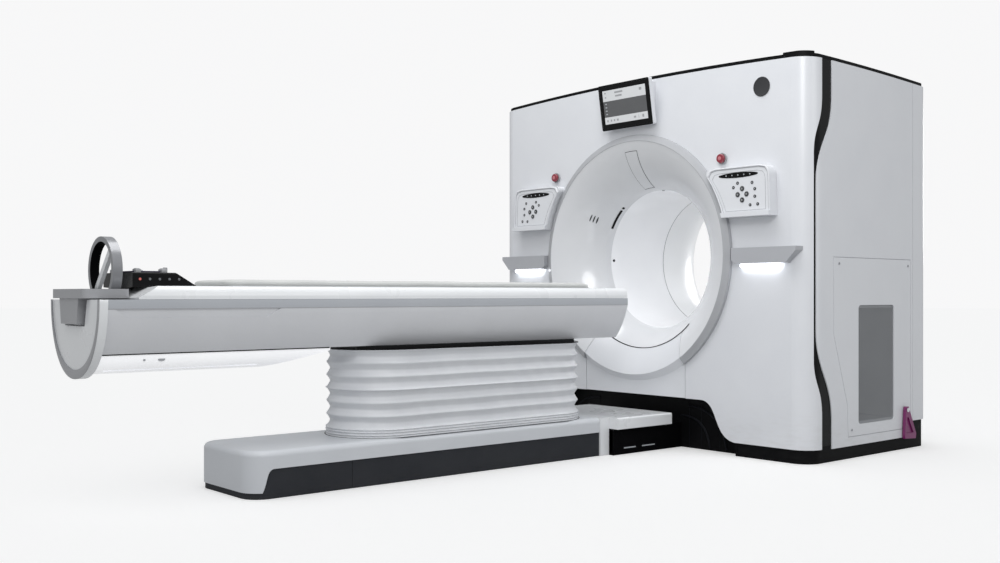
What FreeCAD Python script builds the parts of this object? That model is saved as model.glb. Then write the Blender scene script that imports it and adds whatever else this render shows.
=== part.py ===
"""CT scanner: a ring gantry on a plinth and a patient table on a telescopic lift.

Everything is modelled in gantry coordinates, in millimetres: X across the machine, Y along the bore
from the front plane of the dish towards the rear, Z up from the floor. Each piece is then moved
along Y, so that the origin lies on the floor under the centre of the whole machine.
"""

import FreeCAD
import Part

import os
from math import acos, cos, pi, sin, sqrt

Vec = FreeCAD.Vector

# ---- driving dimensions: gantry ------------------------------------------------------------------
ISO_Z = 1049.0                # height of the bore axis over the floor
BORE_R = 400.0                # inner radius of the patient bore
DISH_R = 661.0                # where the dish meets its ring trim
RING_R = 697.0                # outer radius of the ring trim
RING_BEVEL = 14.0             # how far the trim slopes back to its outer edge
DISH_DEPTH = 262.0            # front plane to the start of the straight bore
DISH_BEND_R = 500.0           # the dish's broad curve
LIP_R = 90.0                  # its tighter curve into the bore
BORE_END = 740.0              # front plane to the end of the bore liner
FUNNEL_R = 560.0              # rear funnel at the rear face
FUNNEL_STRAIGHT = 160.0       # straight length before it flares
HALF_W = 1160.0               # half width at the front corners
REAR_HALF_W = 1136.0          # half width at the rear
FACE_Y = 30.0                 # front face on the centre line
FACE_BOW = 12.0               # how far the front face bows back at its corners
REAR_Y = 1200.0               # rear face
CORNER_R = 105.0              # front corner radius
REAR_CORNER_R = 60.0          # rear corner radius
COVER_TOP = 2045.0            # highest point of the covers
TOP_SPHERE_R = 24900.0        # crown of the cover tops, along and across
WALL = 6.0                    # cover wall
GAP = 0.4                     # assembly gap between neighbouring fixed pieces
SEAM = 3.0                    # visible seam between two covers
COVER_BOTTOM = 70.0           # lower edge of the covers
PLINTH_INSET = 10.0           # black plinth, set in under the covers
PLINTH_WALL = 16.0
PLINTH_GAP = 5.0
LEDGE_H = 14.0                # how far the plinth's ledge stands up behind the covers
CAP_THICK = 20.0              # black top cap
CAP_INSET = 9.0
CAP_RIB_H = 11.0              # raised vent on the cap's front corner
SIDE_REAR_Y = 1040.0          # rear edge of the side covers
REAR_COVER_BOTTOM = 150.0
ARCH_HALF_W = 484.0           # flat top of the arch over the floor bridge
ARCH_TOP = 278.0
ARCH_FOOT_W = 705.0           # where the arch has come down to the cover bottom
RECESS_Y = 110.0              # depth of the recess behind the arch
PANEL_HALF_W = 380.0          # lower front panel
PANEL_TOP_HALF_W = 285.0
PANEL_ARC_R = 511.0           # its upper edge, about the bore axis
STRIP_FRONT = (153.0, 98.0)   # front edge of the corner strip: wide part, narrow part
STRIP_REAR = (243.0, 113.0)   # rear edge of the corner strip: wide part, narrow part
STRIP_TOP = (1840.0, 1540.0)  # where the front edge's upper curve starts and ends
STRIP_LOW = (520.0, 230.0)
STRIP_REAR_TOP = (1840.0, 1400.0)
STRIP_REAR_LOW = (660.0, 200.0)
SERVICE_Y = (257.0, 1018.0)   # service panel in the side cover
SERVICE_Z = (113.0, 1031.0)
SERVICE_LOW_Y = 392.0
PANEL_RIM = 14.0              # how far the side cover's rim reaches behind the panel
GRILLE_Y = (489.0, 843.0)
GRILLE_Z = (172.0, 787.0)
GRILLE_R = 20.0
GRILLE_SLOTS = 46
LATCH_PIVOT = (948.0, 216.0)  # Y and Z of the latch pin
LATCH_LEN = 160.0
LATCH_THICK = (1.5, 19.0)      # from the side face to the lever's two sides
LATCH_POCKET = 11.0            # from the side face to the lever's pocket
LATCH_PIN_R = 7.0
LATCH_HEAD_R = 11.0            # head that holds the lever on its pin
LATCH_HEAD = (24.0, 27.0)
SCREW_PLACES = ((306.0, 999.0), (988.0, 997.0), (424.0, 147.0))   # Y and Z on the side
SCREW_R = 3.0
SCREW_HEAD_R = 6.5

# ---- driving dimensions: gantry fittings ---------------------------------------------------------
SCREEN_HALF_W = 195.0
SCREEN_Z = (1785.0, 2040.0)
SCREEN_Y = (-20.0, -60.0)     # front of the display at its bottom and its top
SCREEN_THICK = 28.0
POD_X = 970.0                 # outer side of a control pod
POD_Z = (1240.0, 1500.0)
POD_TOP_IN = 590.0            # where the pod's upper edge starts
POD_FRONT_Y = -20.0
POD_LIP = 16.0
SHELF_X = (717.0, 1112.0)
SHELF_Z = (1000.0, 1082.0)
SHELF_FRONT_Y = -4.0
KEY_R = 12.0
KEY_CENTRE = (801.0, 1354.0)  # centre of the four keys of the right pod
KEY_PITCH_X = 28.0
KEY_PITCH_Z = 29.0
KEY_PROUD = 3.0
KEY_THICK = 9.0
KEY_TRAVEL = 1.5
STOP_PLACE = (636.0, 1555.0)
STOP_R = 23.5
STOP_STEM_R = 10.0
STOP_TRAVEL = 4.0
RUN_GAP = 0.3                 # clearance round parts that move

# ---- driving dimensions: gantry machinery --------------------------------------------------------
HUB_R = 600.0                 # outer radius of the rotor hub, running in the slewing race
HUB_WALL = 32.0
RACE_WALL = 58.0
DRUM_R = 790.0
DRUM_BORE_R = 432.0
DRUM_Y = 400.0
DRUM_THICK = 40.0
STATOR_Y = 540.0
STATOR_THICK = 60.0
BELT_THICK = 8.0
BELT_WIDTH = 40.0
MOTOR_PLACE = (640.0, 416.0)
MOTOR_R = 80.0
PULLEY_R = 60.0
SHAFT_R = 20.0
BEAM_H = 150.0                # gantry base frame
ANCHOR_HOLE_R = 9.0
OUTRIGGER_Y = (330.0, 900.0)  # arms from the base frame to the plinth
ANCHOR_X = 760.0
ANCHOR_Y = (215.0, 1015.0)

# ---- driving dimensions: table -------------------------------------------------------------------
BASE_HALF_W = 250.0
BASE_Y = (-2500.0, -494.0)
BASE_TOP = 198.0
BASE_NOSE_R = 95.0
BASE_EDGE_R = 24.0
BASE_WALL = 5.0
SKIRT_TOP = 123.0
SKIRT_SEAM_Y = -2010.0
NOSE_FOOT_Y = (-2442.0, -2388.0)
NOSE_BOTTOM = 26.0
TABLE_ANCHOR = (185.0, -2180.0, -620.0)
BRIDGE_HALF_W = 320.0
BRIDGE_Y = (-430.0, -8.0)
BRIDGE_THICK = 60.0
BAND_WIDTH = 65.0
BELLOWS_HALF_W = 240.0
BELLOWS_Y = (-1958.0, -496.0)
BELLOWS_PLEATS = 6
BELLOWS_TIGHT = 3
BELLOWS_TIGHT_PITCH = 12.0
BELLOWS_DEEP = 22.0
BELLOWS_WALL = 4.0
CARRIAGE_Z = (592.0, 611.5)   # plate between the lift and the beam
TRIM_Y = (-1910.0, -560.0)
COLUMN_HALF = (112.0, 165.0)  # outer lift stage, half size across and along
COLUMN_Y = -1340.0
COLUMN_WALL = 9.0
STAGE_STEP = 150.0            # rise from one lift stage to the next, at rest
BEAM_HALF_W = 253.0
BEAM_Y = (-3085.0, -285.0)
BEAM_TOP = 822.0
BEAM_BAND_Z = 788.0
BEAM_FOOT_HALF_W = 165.0
BEAM_BOTTOM = 612.0
BEAM_WALL = 6.0
PAN_DEPTH = 80.0
PAN_END_Y = (-2400.0, -2070.0)
ENDCAP_THICK = 34.0
ENDCAP_HALF_W = 260.0
ENDCAP_BOTTOM = 514.0
NOTCH_HALF_W = (106.0, 132.0)
NOTCH_BOTTOM = 720.0
CRADLE_Z = (823.0, 875.0)
CRADLE_Y = (-2965.0, -285.0)
CRADLE_TOP_HALF_W = 222.0
CRADLE_DISH = 9.0
PAD_HALF_W = 190.0
PAD_Y = (-2570.0, -470.0)
PAD_THICK = 34.0
BRACKET_Y = (-3150.0, -2966.0)
BRACKET_HALF_W = 165.0
BRACKET_TOP = 863.0
TONGUE_HALF_W = 92.0
TONGUE_BOTTOM = 728.0
HOOP_R = 122.0
HOOP_Z = 938.0
HOOP_RADIAL = 20.0
HOOP_AXIAL = 38.0
HOOP_Y = -3000.0
CONSOLE_Y = (-2950.0, -2690.0)
CONSOLE_HALF_W = 150.0
CONSOLE_TOP = 928.0

# ---- worked out from the driving dimensions ------------------------------------------------------
FOOT_END_Y = BRACKET_Y[0]
ORIGIN_SHIFT = -(FOOT_END_Y + REAR_Y) / 2
CAP_TOP_R = TOP_SPHERE_R + CAP_THICK
BEAM_INNER_HALF_W = BEAM_HALF_W - BEAM_WALL


# ---- shape helpers -------------------------------------------------------------------------------
def box(x0, x1, y0, y1, z0, z1):
    """A block between two corners."""
    return Part.makeBox(x1 - x0, y1 - y0, z1 - z0, Vec(x0, y0, z0))


def cyl_y(radius, y0, y1, x, z):
    """A cylinder along Y."""
    return Part.makeCylinder(radius, y1 - y0, Vec(x, y0, z), Vec(0, 1, 0))


def cyl_x(radius, x0, x1, y, z):
    """A cylinder along X."""
    return Part.makeCylinder(radius, x1 - x0, Vec(x0, y, z), Vec(1, 0, 0))


def cyl_z(radius, z0, z1, x, y):
    """A cylinder along Z."""
    return Part.makeCylinder(radius, z1 - z0, Vec(x, y, z0))


def face_of(edges):
    """A flat face from edges that join end to end."""
    return Part.Face(Part.Wire(edges))


def loop(points):
    """The straight edges of a closed outline."""
    return [Part.makeLine(a, b) for a, b in zip(points, points[1:] + points[:1])]


def prism_xz(points, y0, y1):
    """An outline in the X-Z plane, drawn out along Y."""
    return face_of(loop([Vec(x, y0, z) for x, z in points])).extrude(Vec(0, y1 - y0, 0))


def prism_yz(points, x0, x1):
    """An outline in the Y-Z plane, drawn out along X."""
    return face_of(loop([Vec(x0, y, z) for y, z in points])).extrude(Vec(x1 - x0, 0, 0))


def bezier(*poles):
    """A Bezier edge through its two end poles."""
    curve = Part.BezierCurve()
    curve.setPoles(list(poles))
    return curve.toShape()


def arc(a, b, c):
    """A circular edge through three points."""
    return Part.Arc(a, b, c).toShape()


def mirrored(shape):
    """The same piece on the other side of the machine."""
    return shape.mirror(Vec(0, 0, 0), Vec(1, 0, 0))


def both(shape):
    """A piece and its mirror image, as separate solids."""
    return Part.makeCompound([shape, mirrored(shape)])


def around_bore(profile):
    """A ring turned about the bore axis from (radius, y) points or ready edges."""
    if isinstance(profile[0], tuple):
        profile = loop([Vec(r, y, ISO_Z) for r, y in profile])
    return face_of(profile).revolve(Vec(0, 0, ISO_Z), Vec(0, 1, 0), 360)


def tube_y(outer, inner, y0, y1, x=0.0, z=ISO_Z):
    """A round tube along Y."""
    return cyl_y(outer, y0, y1, x, z).cut(cyl_y(inner, y0 - 1, y1 + 1, x, z))


def rounded_box(x0, x1, y0, y1, z0, z1, radius, axis):
    """A block with the four edges along one axis rounded."""
    block = box(x0, x1, y0, y1, z0, z1)
    return block.makeFillet(radius, edges_along(block, axis))


def edges_along(shape, axis):
    """The straight edges that run along one axis."""
    found = []
    for edge in shape.Edges:
        run = edge.Vertexes[-1].Point - edge.Vertexes[0].Point
        if run.Length > 1e-6 and abs(abs(run.dot(axis)) - run.Length) < 1e-6:
            found.append(edge)
    return found


def stadium(half_w, y0, y1, z):
    """A closed outline with straight sides and round ends, level at height z."""
    low = Vec(-half_w, y0 + half_w, z)
    high = Vec(-half_w, y1 - half_w, z)
    low_end = arc(Vec(half_w, low.y, z), Vec(0, y0, z), low)
    high_end = arc(high, Vec(0, y1, z), Vec(half_w, high.y, z))
    return Part.Wire([
        low_end,
        Part.makeLine(low, high),
        high_end,
        Part.makeLine(Vec(half_w, high.y, z), Vec(half_w, low.y, z)),
    ])


# ---- the covers' common outer form ---------------------------------------------------------------
def footprint(inset, z0, z1):
    """The gantry's plan form, drawn up from z0 to z1; a larger inset makes it smaller."""
    front = FACE_Y + inset
    side = HALF_W - inset
    back_side = REAR_HALF_W - inset
    back = REAR_Y - inset
    right = Vec(side, front + FACE_BOW, z0)
    left = Vec(-side, front + FACE_BOW, z0)
    edges = [
        arc(left, Vec(0, front, z0), right),
        Part.makeLine(right, Vec(back_side, back, z0)),
        Part.makeLine(Vec(back_side, back, z0), Vec(-back_side, back, z0)),
        Part.makeLine(Vec(-back_side, back, z0), left),
    ]
    body = face_of(edges).extrude(Vec(0, 0, z1 - z0))
    corners = edges_along(body, Vec(0, 0, 1))
    ahead = [e for e in corners if e.Vertexes[0].Point.y < REAR_Y / 2]
    behind = [e for e in corners if e.Vertexes[0].Point.y > REAR_Y / 2]
    body = body.makeFillet(CORNER_R - inset, ahead)
    behind = [e for e in edges_along(body, Vec(0, 0, 1)) if abs(e.Vertexes[0].Point.y - back) < 1e-3]
    return body.makeFillet(REAR_CORNER_R - inset, behind)


def crown(radius):
    """The large ball whose top rounds off the covers."""
    return Part.makeSphere(radius, Vec(0, 100.0, COVER_TOP - TOP_SPHERE_R), Vec(1, 0, 0))


def cover_shell(z0):
    """The wall that all the upright covers are parts of."""
    high = COVER_TOP + 50
    return footprint(0, z0, high).cut(footprint(WALL, z0 - 1, high + 1)).common(crown(TOP_SPHERE_R))


def wave(wide, narrow, top, low, beyond):
    """A region edge in the Y-Z plane: wide, curving to narrow and back to wide, from the top down."""
    def at(y, z):
        return Vec(-HALF_W - 50, y, z)

    mid_top = (top[0] + top[1]) / 2
    mid_low = (low[0] + low[1]) / 2
    edges = [
        Part.makeLine(at(wide, COVER_TOP + 60), at(wide, top[0])),
        bezier(at(wide, top[0]), at(wide, mid_top), at(narrow, mid_top), at(narrow, top[1])),
        Part.makeLine(at(narrow, top[1]), at(narrow, low[0])),
        bezier(at(narrow, low[0]), at(narrow, mid_low), at(wide, mid_low), at(wide, low[1])),
        Part.makeLine(at(wide, low[1]), at(wide, -10)),
        Part.makeLine(at(wide, -10), at(beyond, -10)),
        Part.makeLine(at(beyond, -10), at(beyond, COVER_TOP + 60)),
        Part.makeLine(at(beyond, COVER_TOP + 60), at(wide, COVER_TOP + 60)),
    ]
    return face_of(edges).extrude(Vec(2 * HALF_W + 100, 0, 0))


def front_region(shift=0.0):
    """All that lies ahead of the corner strips."""
    wide, narrow = STRIP_FRONT
    return wave(wide + shift, narrow + shift, STRIP_TOP, STRIP_LOW, -400)


def side_region(shift=0.0):
    """All that lies behind the corner strips."""
    wide, narrow = STRIP_REAR
    return wave(wide - shift, narrow - shift, STRIP_REAR_TOP, STRIP_REAR_LOW, REAR_Y + 300)


def arch_outline(grow, y):
    """The opening under the front cover for the floor bridge, as closed edges."""
    half = ARCH_HALF_W + grow
    foot = ARCH_FOOT_W + grow
    top = ARCH_TOP + grow
    low = COVER_BOTTOM + GAP
    mid = (half + foot) / 2

    def side(sign):
        return bezier(
            Vec(sign * half, y, top),
            Vec(sign * (mid + 12), y, top),
            Vec(sign * (mid - 30), y, low + 22),
            Vec(sign * foot, y, low),
        )

    return [
        Part.makeLine(Vec(-half, y, top), Vec(half, y, top)),
        side(1),
        Part.makeLine(Vec(foot, y, low), Vec(foot, y, -20)),
        Part.makeLine(Vec(foot, y, -20), Vec(-foot, y, -20)),
        Part.makeLine(Vec(-foot, y, -20), Vec(-foot, y, low)),
        side(-1),
    ]


def arch_cut(grow=0.0, y0=-200.0, y1=160.0):
    """The arch as a solid, for cutting."""
    return Part.Face(Part.Wire(Part.sortEdges(arch_outline(grow, y0))[0])).extrude(Vec(0, y1 - y0, 0))


def panel_region(grow=0.0):
    """The outline of the lower front panel, drawn through the front of the gantry."""
    half = PANEL_HALF_W + grow
    top = PANEL_TOP_HALF_W + grow
    ring_z = ISO_Z - sqrt(RING_R ** 2 - PANEL_HALF_W ** 2)
    arc_z = ISO_Z - sqrt(PANEL_ARC_R ** 2 - PANEL_TOP_HALF_W ** 2)
    outline = [(-half, 0), (half, 0), (half, ring_z), (top, arc_z + 60), (-top, arc_z + 60), (-half, ring_z)]
    return prism_xz(outline, -60, 400).cut(cyl_y(PANEL_ARC_R - grow, -80, 420, 0, ISO_Z))


# ---- gantry covers -------------------------------------------------------------------------------
def front_cover():
    """The white front shell, open for the dish, the lower panel and the arch."""
    body = cover_shell(COVER_BOTTOM).common(front_region())
    body = body.cut(cyl_y(RING_R + GAP, -200, 300, 0, ISO_Z))
    body = body.cut(arch_cut()).cut(panel_region(SEAM / 2))
    for side in (-1, 1):
        body = body.cut(cyl_y(STOP_STEM_R + 2, -50, 150, side * STOP_PLACE[0], STOP_PLACE[1]))
    return body


def dish_centres():
    """The centres, as (radius, y), of the dish's broad curve and of its lip curve, which run smoothly together."""
    lip = (BORE_R + LIP_R, DISH_DEPTH)
    rim = (DISH_R - GAP, 2.0)
    run_r, run_y = lip[0] - rim[0], lip[1] - rim[1]
    span = sqrt(run_r ** 2 + run_y ** 2)
    along = (DISH_BEND_R ** 2 - (DISH_BEND_R - LIP_R) ** 2 + span ** 2) / (2 * span)
    aside = sqrt(DISH_BEND_R ** 2 - along ** 2)
    broad_r = rim[0] + (run_r * along + run_y * aside) / span
    broad_y = rim[1] + (run_y * along - run_r * aside) / span
    return (broad_r, broad_y), lip


def dish_profile(step, start=0.0):
    """The dish's curve from its rim to the bore lip, set back by step: two arcs and the curve's two ends."""
    (broad_r, broad_y), (lip_r, lip_y) = dish_centres()
    rim_dir = Vec(DISH_R - GAP - broad_r, 2.0 - broad_y, 0).normalize()
    touch_dir = Vec(lip_r - broad_r, lip_y - broad_y, 0).normalize()

    def broad(direction):
        reach = direction.normalize() * (DISH_BEND_R - step)
        return Vec(broad_r + reach.x, broad_y + reach.y, ISO_Z)

    def lip(direction):
        reach = direction.normalize() * (LIP_R - step)
        return Vec(lip_r + reach.x, lip_y + reach.y, ISO_Z)

    rim_dir = (rim_dir + (touch_dir - rim_dir) * start).normalize()
    rim, touch, end = broad(rim_dir), broad(touch_dir), lip(Vec(-1, 0, 0))
    edges = [
        arc(rim, broad(rim_dir + touch_dir), touch),
        arc(touch, lip(touch_dir + Vec(-1, 0, 0)), end),
    ]
    return edges, rim, end


def dish_body():
    """The whole dish, before the lower panel is taken out of it."""
    front, f0, f1 = dish_profile(0)
    back, b0, b1 = dish_profile(WALL, 0.05)
    flange = RING_R - 11
    corners = [b0, Vec(b0.x, 22, ISO_Z), Vec(flange, 37, ISO_Z), Vec(flange, 31, ISO_Z), Vec(f0.x, 14, ISO_Z), f0]
    edges = front + [Part.makeLine(f1, b1)] + back
    edges += [Part.makeLine(a, b) for a, b in zip(corners, corners[1:])]
    return around_bore(Part.sortEdges(edges)[0])


def dish_cover():
    """The flared front of the bore."""
    return dish_body().cut(panel_region(SEAM / 2))


def dish_ring_trim():
    """The grey bevelled ring round the dish, open over the lower panel."""
    ring = around_bore([
        (RING_R, FACE_Y + 14),
        (RING_R, RING_BEVEL),
        (DISH_R + 3, 0),
        (DISH_R, 0),
        (DISH_R, 12),
        (RING_R - 9, RING_BEVEL + 15),
        (RING_R - 7, FACE_Y + 14),
    ])
    return ring.cut(panel_region(SEAM / 2))


def lower_front_panel():
    """The removable panel under the dish: its upper part continues the dish, its lower part the face."""
    region = panel_region(-SEAM / 2)
    lower = footprint(0, ARCH_TOP + 2, ISO_Z).cut(footprint(WALL, ARCH_TOP, ISO_Z + 1))
    lower = lower.common(region).common(box(-500, 500, -100, 200, 0, ISO_Z))
    lower = lower.cut(cyl_y(RING_R - 6, -100, 300, 0, ISO_Z))
    joint = around_bore([
        (RING_R - 2, FACE_Y + 9),
        (RING_R - 2, FACE_Y + 2),
        (DISH_R - 2, 2.5),
        (DISH_R - 4, 8),
        (RING_R - 12, FACE_Y + 12),
    ])
    upper = dish_body().cut(tube_y(RING_R + 20, DISH_R - 2, -20, 200)).common(region)
    return lower.fuse(joint.common(region)).fuse(upper).removeSplitter()


def bore_liner():
    """The round liner of the patient bore."""
    return tube_y(BORE_R + 4, BORE_R, DISH_DEPTH + GAP, BORE_END)


def rear_funnel():
    """The flared rear end of the bore: straight at first, then one arc to the rear face."""
    flare_y = BORE_END + FUNNEL_STRAIGHT
    rise, run = FUNNEL_R - BORE_R, REAR_Y - flare_y
    bend = (rise ** 2 + run ** 2) / (2 * rise)

    def at(angle, step):
        radius = bend - step
        return Vec(BORE_R + bend - radius * cos(angle), flare_y + radius * sin(angle), ISO_Z)

    turn = acos((bend - rise) / bend)
    rim = FUNNEL_R + 24
    inner = [at(0, 0), at(turn / 2, 0), at(turn, 0)]
    outer = [at(0, WALL), at(turn / 2, WALL), at(turn * 0.985, WALL)]
    start = BORE_END + GAP
    corners = [inner[2], Vec(rim, REAR_Y, ISO_Z), Vec(rim, REAR_Y - WALL, ISO_Z), outer[2]]
    edges = [Part.makeLine(a, b) for a, b in zip(corners, corners[1:])]
    edges += [
        arc(*inner),
        arc(*outer),
        Part.makeLine(inner[0], Vec(BORE_R, start, ISO_Z)),
        Part.makeLine(Vec(BORE_R, start, ISO_Z), Vec(BORE_R + WALL, start, ISO_Z)),
        Part.makeLine(Vec(BORE_R + WALL, start, ISO_Z), outer[0]),
    ]
    return around_bore(Part.sortEdges(edges)[0])


def side_covers():
    """The two white side shells, each open for its service panel."""
    shell = cover_shell(COVER_BOTTOM - 4).common(side_region())
    right = shell.common(box(0, HALF_W + 50, 0, SIDE_REAR_Y, 0, COVER_TOP + 50))
    right = right.cut(service_region(SEAM / 2))
    rim = footprint(WALL, 0, SERVICE_Z[1] + 60).cut(footprint(WALL + 3, -1, SERVICE_Z[1] + 61))
    rim = rim.common(service_region(PANEL_RIM)).cut(service_region(-PANEL_RIM))
    return both(right.fuse(rim).removeSplitter())


def service_region(grow=0.0):
    """The outline of a service panel on the right side."""
    y0, y1 = SERVICE_Y[0] - grow, SERVICE_Y[1] + grow
    z0, z1 = SERVICE_Z[0] - grow, SERVICE_Z[1] + grow
    low_y = SERVICE_LOW_Y - grow
    outline = [(y0, z1), (y1, z1), (y1, z0), (low_y, z0), (low_y - 10, z0 + 170), (y0, 644.0)]
    return prism_yz(outline, HALF_W - 60, HALF_W + 60)


def service_panels():
    """The removable side panels, each with a grille opening and a boss for the cover latch."""
    high = SERVICE_Z[1] + 60
    shell = footprint(0, 0, high).cut(footprint(WALL - GAP, -1, high + 1))
    right = shell.common(service_region(-SEAM / 2))
    right = right.cut(rounded_box(
        HALF_W - 80, HALF_W + 60, GRILLE_Y[0], GRILLE_Y[1], GRILLE_Z[0], GRILLE_Z[1], GRILLE_R, Vec(1, 0, 0),
    ))
    pivot_y, pivot_z = LATCH_PIVOT
    face_x = side_x(pivot_y)
    boss = cyl_x(LATCH_PIN_R, face_x - 3, face_x + LATCH_HEAD[1], pivot_y, pivot_z)
    head = cyl_x(LATCH_HEAD_R, face_x + LATCH_HEAD[0], face_x + LATCH_HEAD[1], pivot_y, pivot_z)
    for y, z in SCREW_PLACES:
        right = right.cut(cyl_x(SCREW_R + 0.2, HALF_W - 60, HALF_W + 20, y, z))
    return both(right.fuse(boss).fuse(head))


def side_x(y):
    """How far out the side face lies at y."""
    share = (y - FACE_Y - FACE_BOW) / (REAR_Y - FACE_Y - FACE_BOW)
    return HALF_W + (REAR_HALF_W - HALF_W) * share


def vent_grilles():
    """The slotted grilles behind the service panels."""
    high = GRILLE_Z[1] + 12
    shell = footprint(WALL + GAP, 0, high).cut(footprint(WALL + GAP + 2, -1, high + 1))
    right = shell.common(box(HALF_W - 80, HALF_W, GRILLE_Y[0] - 12, GRILLE_Y[1] + 12, GRILLE_Z[0] - 12, high))
    pitch = (GRILLE_Y[1] - GRILLE_Y[0] - 12) / GRILLE_SLOTS
    slots = []
    for n in range(GRILLE_SLOTS):
        y = GRILLE_Y[0] + 6 + pitch * (n + 0.25)
        slots.append(box(HALF_W - 80, HALF_W + 10, y, y + pitch / 2, GRILLE_Z[0] + 14, GRILLE_Z[1] - 14))
    return both(right.cut(Part.makeCompound(slots)))


def panel_screws():
    """The screws of the two service panels."""
    screws = []
    for y, z in SCREW_PLACES:
        shank = cyl_x(SCREW_R, side_x(y) - 14, side_x(y) + 1, y, z)
        head = cyl_x(SCREW_HEAD_R, side_x(y) + 0.5, side_x(y) + 3.0, y, z)
        screw = shank.fuse(head)
        screw = screw.cut(Part.makeBox(2, 1.6, 9, Vec(side_x(y) + 1.6, y - 0.8, z - 4.5)))
        screws += [screw, mirrored(screw)]
    return Part.makeCompound(screws)


def rear_cover():
    """The rear shell with its round opening for the funnel."""
    shell = cover_shell(REAR_COVER_BOTTOM)
    body = shell.common(box(-HALF_W - 50, HALF_W + 50, SIDE_REAR_Y + SEAM, REAR_Y + 50, 0, COVER_TOP + 50))
    return body.cut(cyl_y(FUNNEL_R + 24 + GAP, REAR_Y - 100, REAR_Y + 50, 0, ISO_Z))


def corner_strips():
    """The black strips that curve down the front corners, set back behind the covers."""
    high = COVER_TOP + 50
    set_back = WALL + GAP
    shell = footprint(set_back, COVER_BOTTOM + LEDGE_H + GAP, high).cut(footprint(set_back + 4, 0, high + 1))
    shell = shell.common(crown(TOP_SPHERE_R - GAP))
    shell = shell.common(box(HALF_W - 120, HALF_W + 50, 40, 300, 0, high))
    shell = shell.cut(front_region(-20)).cut(side_region(-20))
    return both(shell)


def top_cap():
    """The black cap that closes the covers, with a raised vent on its right front corner."""
    slab = footprint(CAP_INSET, 1900, COVER_TOP + 200)
    cap = slab.common(crown(CAP_TOP_R)).cut(crown(TOP_SPHERE_R + GAP))
    rib_solid = rounded_box(985, 1140, 55, 130, 1990, COVER_TOP + 100, 22, Vec(0, 0, 1))
    rib = rib_solid.common(slab).common(crown(CAP_TOP_R + CAP_RIB_H)).cut(crown(CAP_TOP_R - 2))
    return cap.fuse(rib).removeSplitter()


def plinth():
    """The black skirting on the floor, with the vaulted recess over the floor bridge."""
    inner = PLINTH_INSET + PLINTH_WALL
    ring = footprint(PLINTH_INSET, 0, COVER_BOTTOM - PLINTH_GAP).cut(footprint(inner, -1, COVER_BOTTOM))
    ledge = footprint(WALL + GAP, COVER_BOTTOM - PLINTH_GAP - 8, COVER_BOTTOM + LEDGE_H)
    ledge = ledge.cut(footprint(inner, COVER_BOTTOM - PLINTH_GAP - 9, COVER_BOTTOM + LEDGE_H + 1))
    ledge = ledge.common(box(-HALF_W, HALF_W, -200, SIDE_REAR_Y - 40, 0, COVER_BOTTOM + 20))
    rear = footprint(PLINTH_INSET, 0, REAR_COVER_BOTTOM - GAP).cut(footprint(inner, -1, REAR_COVER_BOTTOM))
    rear = rear.common(box(-HALF_W, HALF_W, SIDE_REAR_Y + SEAM, REAR_Y, 0, REAR_COVER_BOTTOM))
    front_wall = box(-ARCH_FOOT_W - 60, ARCH_FOOT_W + 60, RECESS_Y, RECESS_Y + 8, 0, ARCH_TOP + 40)
    front_wall = front_wall.common(footprint(inner, -1, ARCH_TOP + 60))
    vault = arch_cut(14, FACE_Y + WALL + 1.2, RECESS_Y).cut(arch_cut(6, FACE_Y - 20, RECESS_Y + 10))
    vault = vault.cut(box(-2000, 2000, -300, 300, -100, 0)).common(footprint(WALL + GAP, 0, 400))
    body = ring.fuse(ledge).fuse(rear).cut(arch_cut(6, -50, RECESS_Y - 0.01))
    return body.fuse(vault).fuse(front_wall).removeSplitter()


# ---- gantry fittings -----------------------------------------------------------------------------
def on_face(shape):
    """A fitting cut back so that it sits on the bowed front face."""
    return shape.cut(footprint(-GAP, 0, COVER_TOP + 100))


def display_housing():
    """The tilted display case on its short neck."""
    (y_low, y_high), (z_low, z_high) = SCREEN_Y, SCREEN_Z
    case = prism_yz(
        [(y_low, z_low), (y_high, z_high), (y_high + SCREEN_THICK, z_high + 4), (y_low + SCREEN_THICK, z_low + 4)],
        -SCREEN_HALF_W, SCREEN_HALF_W,
    )
    case = case.makeFillet(9, [e for e in case.Edges if runs_along_yz(e)])
    case = case.cut(screen_slab(0.2, 4.0))
    neck = on_face(prism_yz(
        [(y_low + 20, z_low + 22), (90, z_low + 30), (90, z_high - 14), (y_high + 22, z_high - 8)],
        -SCREEN_HALF_W + 30, SCREEN_HALF_W - 30,
    ))
    return case.fuse(neck).removeSplitter()


def runs_along_yz(edge):
    """Whether an edge is one of the case's short corner edges."""
    run = edge.Vertexes[-1].Point - edge.Vertexes[0].Point
    return abs(run.x) < 1e-6 and abs(run.y) > abs(run.z)


def screen_slab(grow, depth):
    """The glass plate let into the front of the display case."""
    (y_low, y_high), (z_low, z_high) = SCREEN_Y, SCREEN_Z
    slope = (y_high - y_low) / (z_high - z_low)
    z0, z1 = z_low + 10 - grow, z_high - 10 + grow
    front = [(y_low + slope * (z - z_low), z) for z in (z0, z1)]
    outline = [(front[0][0] - 0.01, z0), (front[1][0] - 0.01, z1), (front[1][0] + depth, z1), (front[0][0] + depth, z0)]
    return prism_yz(outline, -SCREEN_HALF_W + 9 - grow, SCREEN_HALF_W - 9 + grow)


def display_screen():
    """The display's glass."""
    return screen_slab(0, 3.6)


def key_places():
    """The centres of the four keys on the right pod: up, left, right, down."""
    x, z = KEY_CENTRE
    return ((x, z + KEY_PITCH_Z), (x - KEY_PITCH_X, z), (x + KEY_PITCH_X, z), (x, z - KEY_PITCH_Z))


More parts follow.
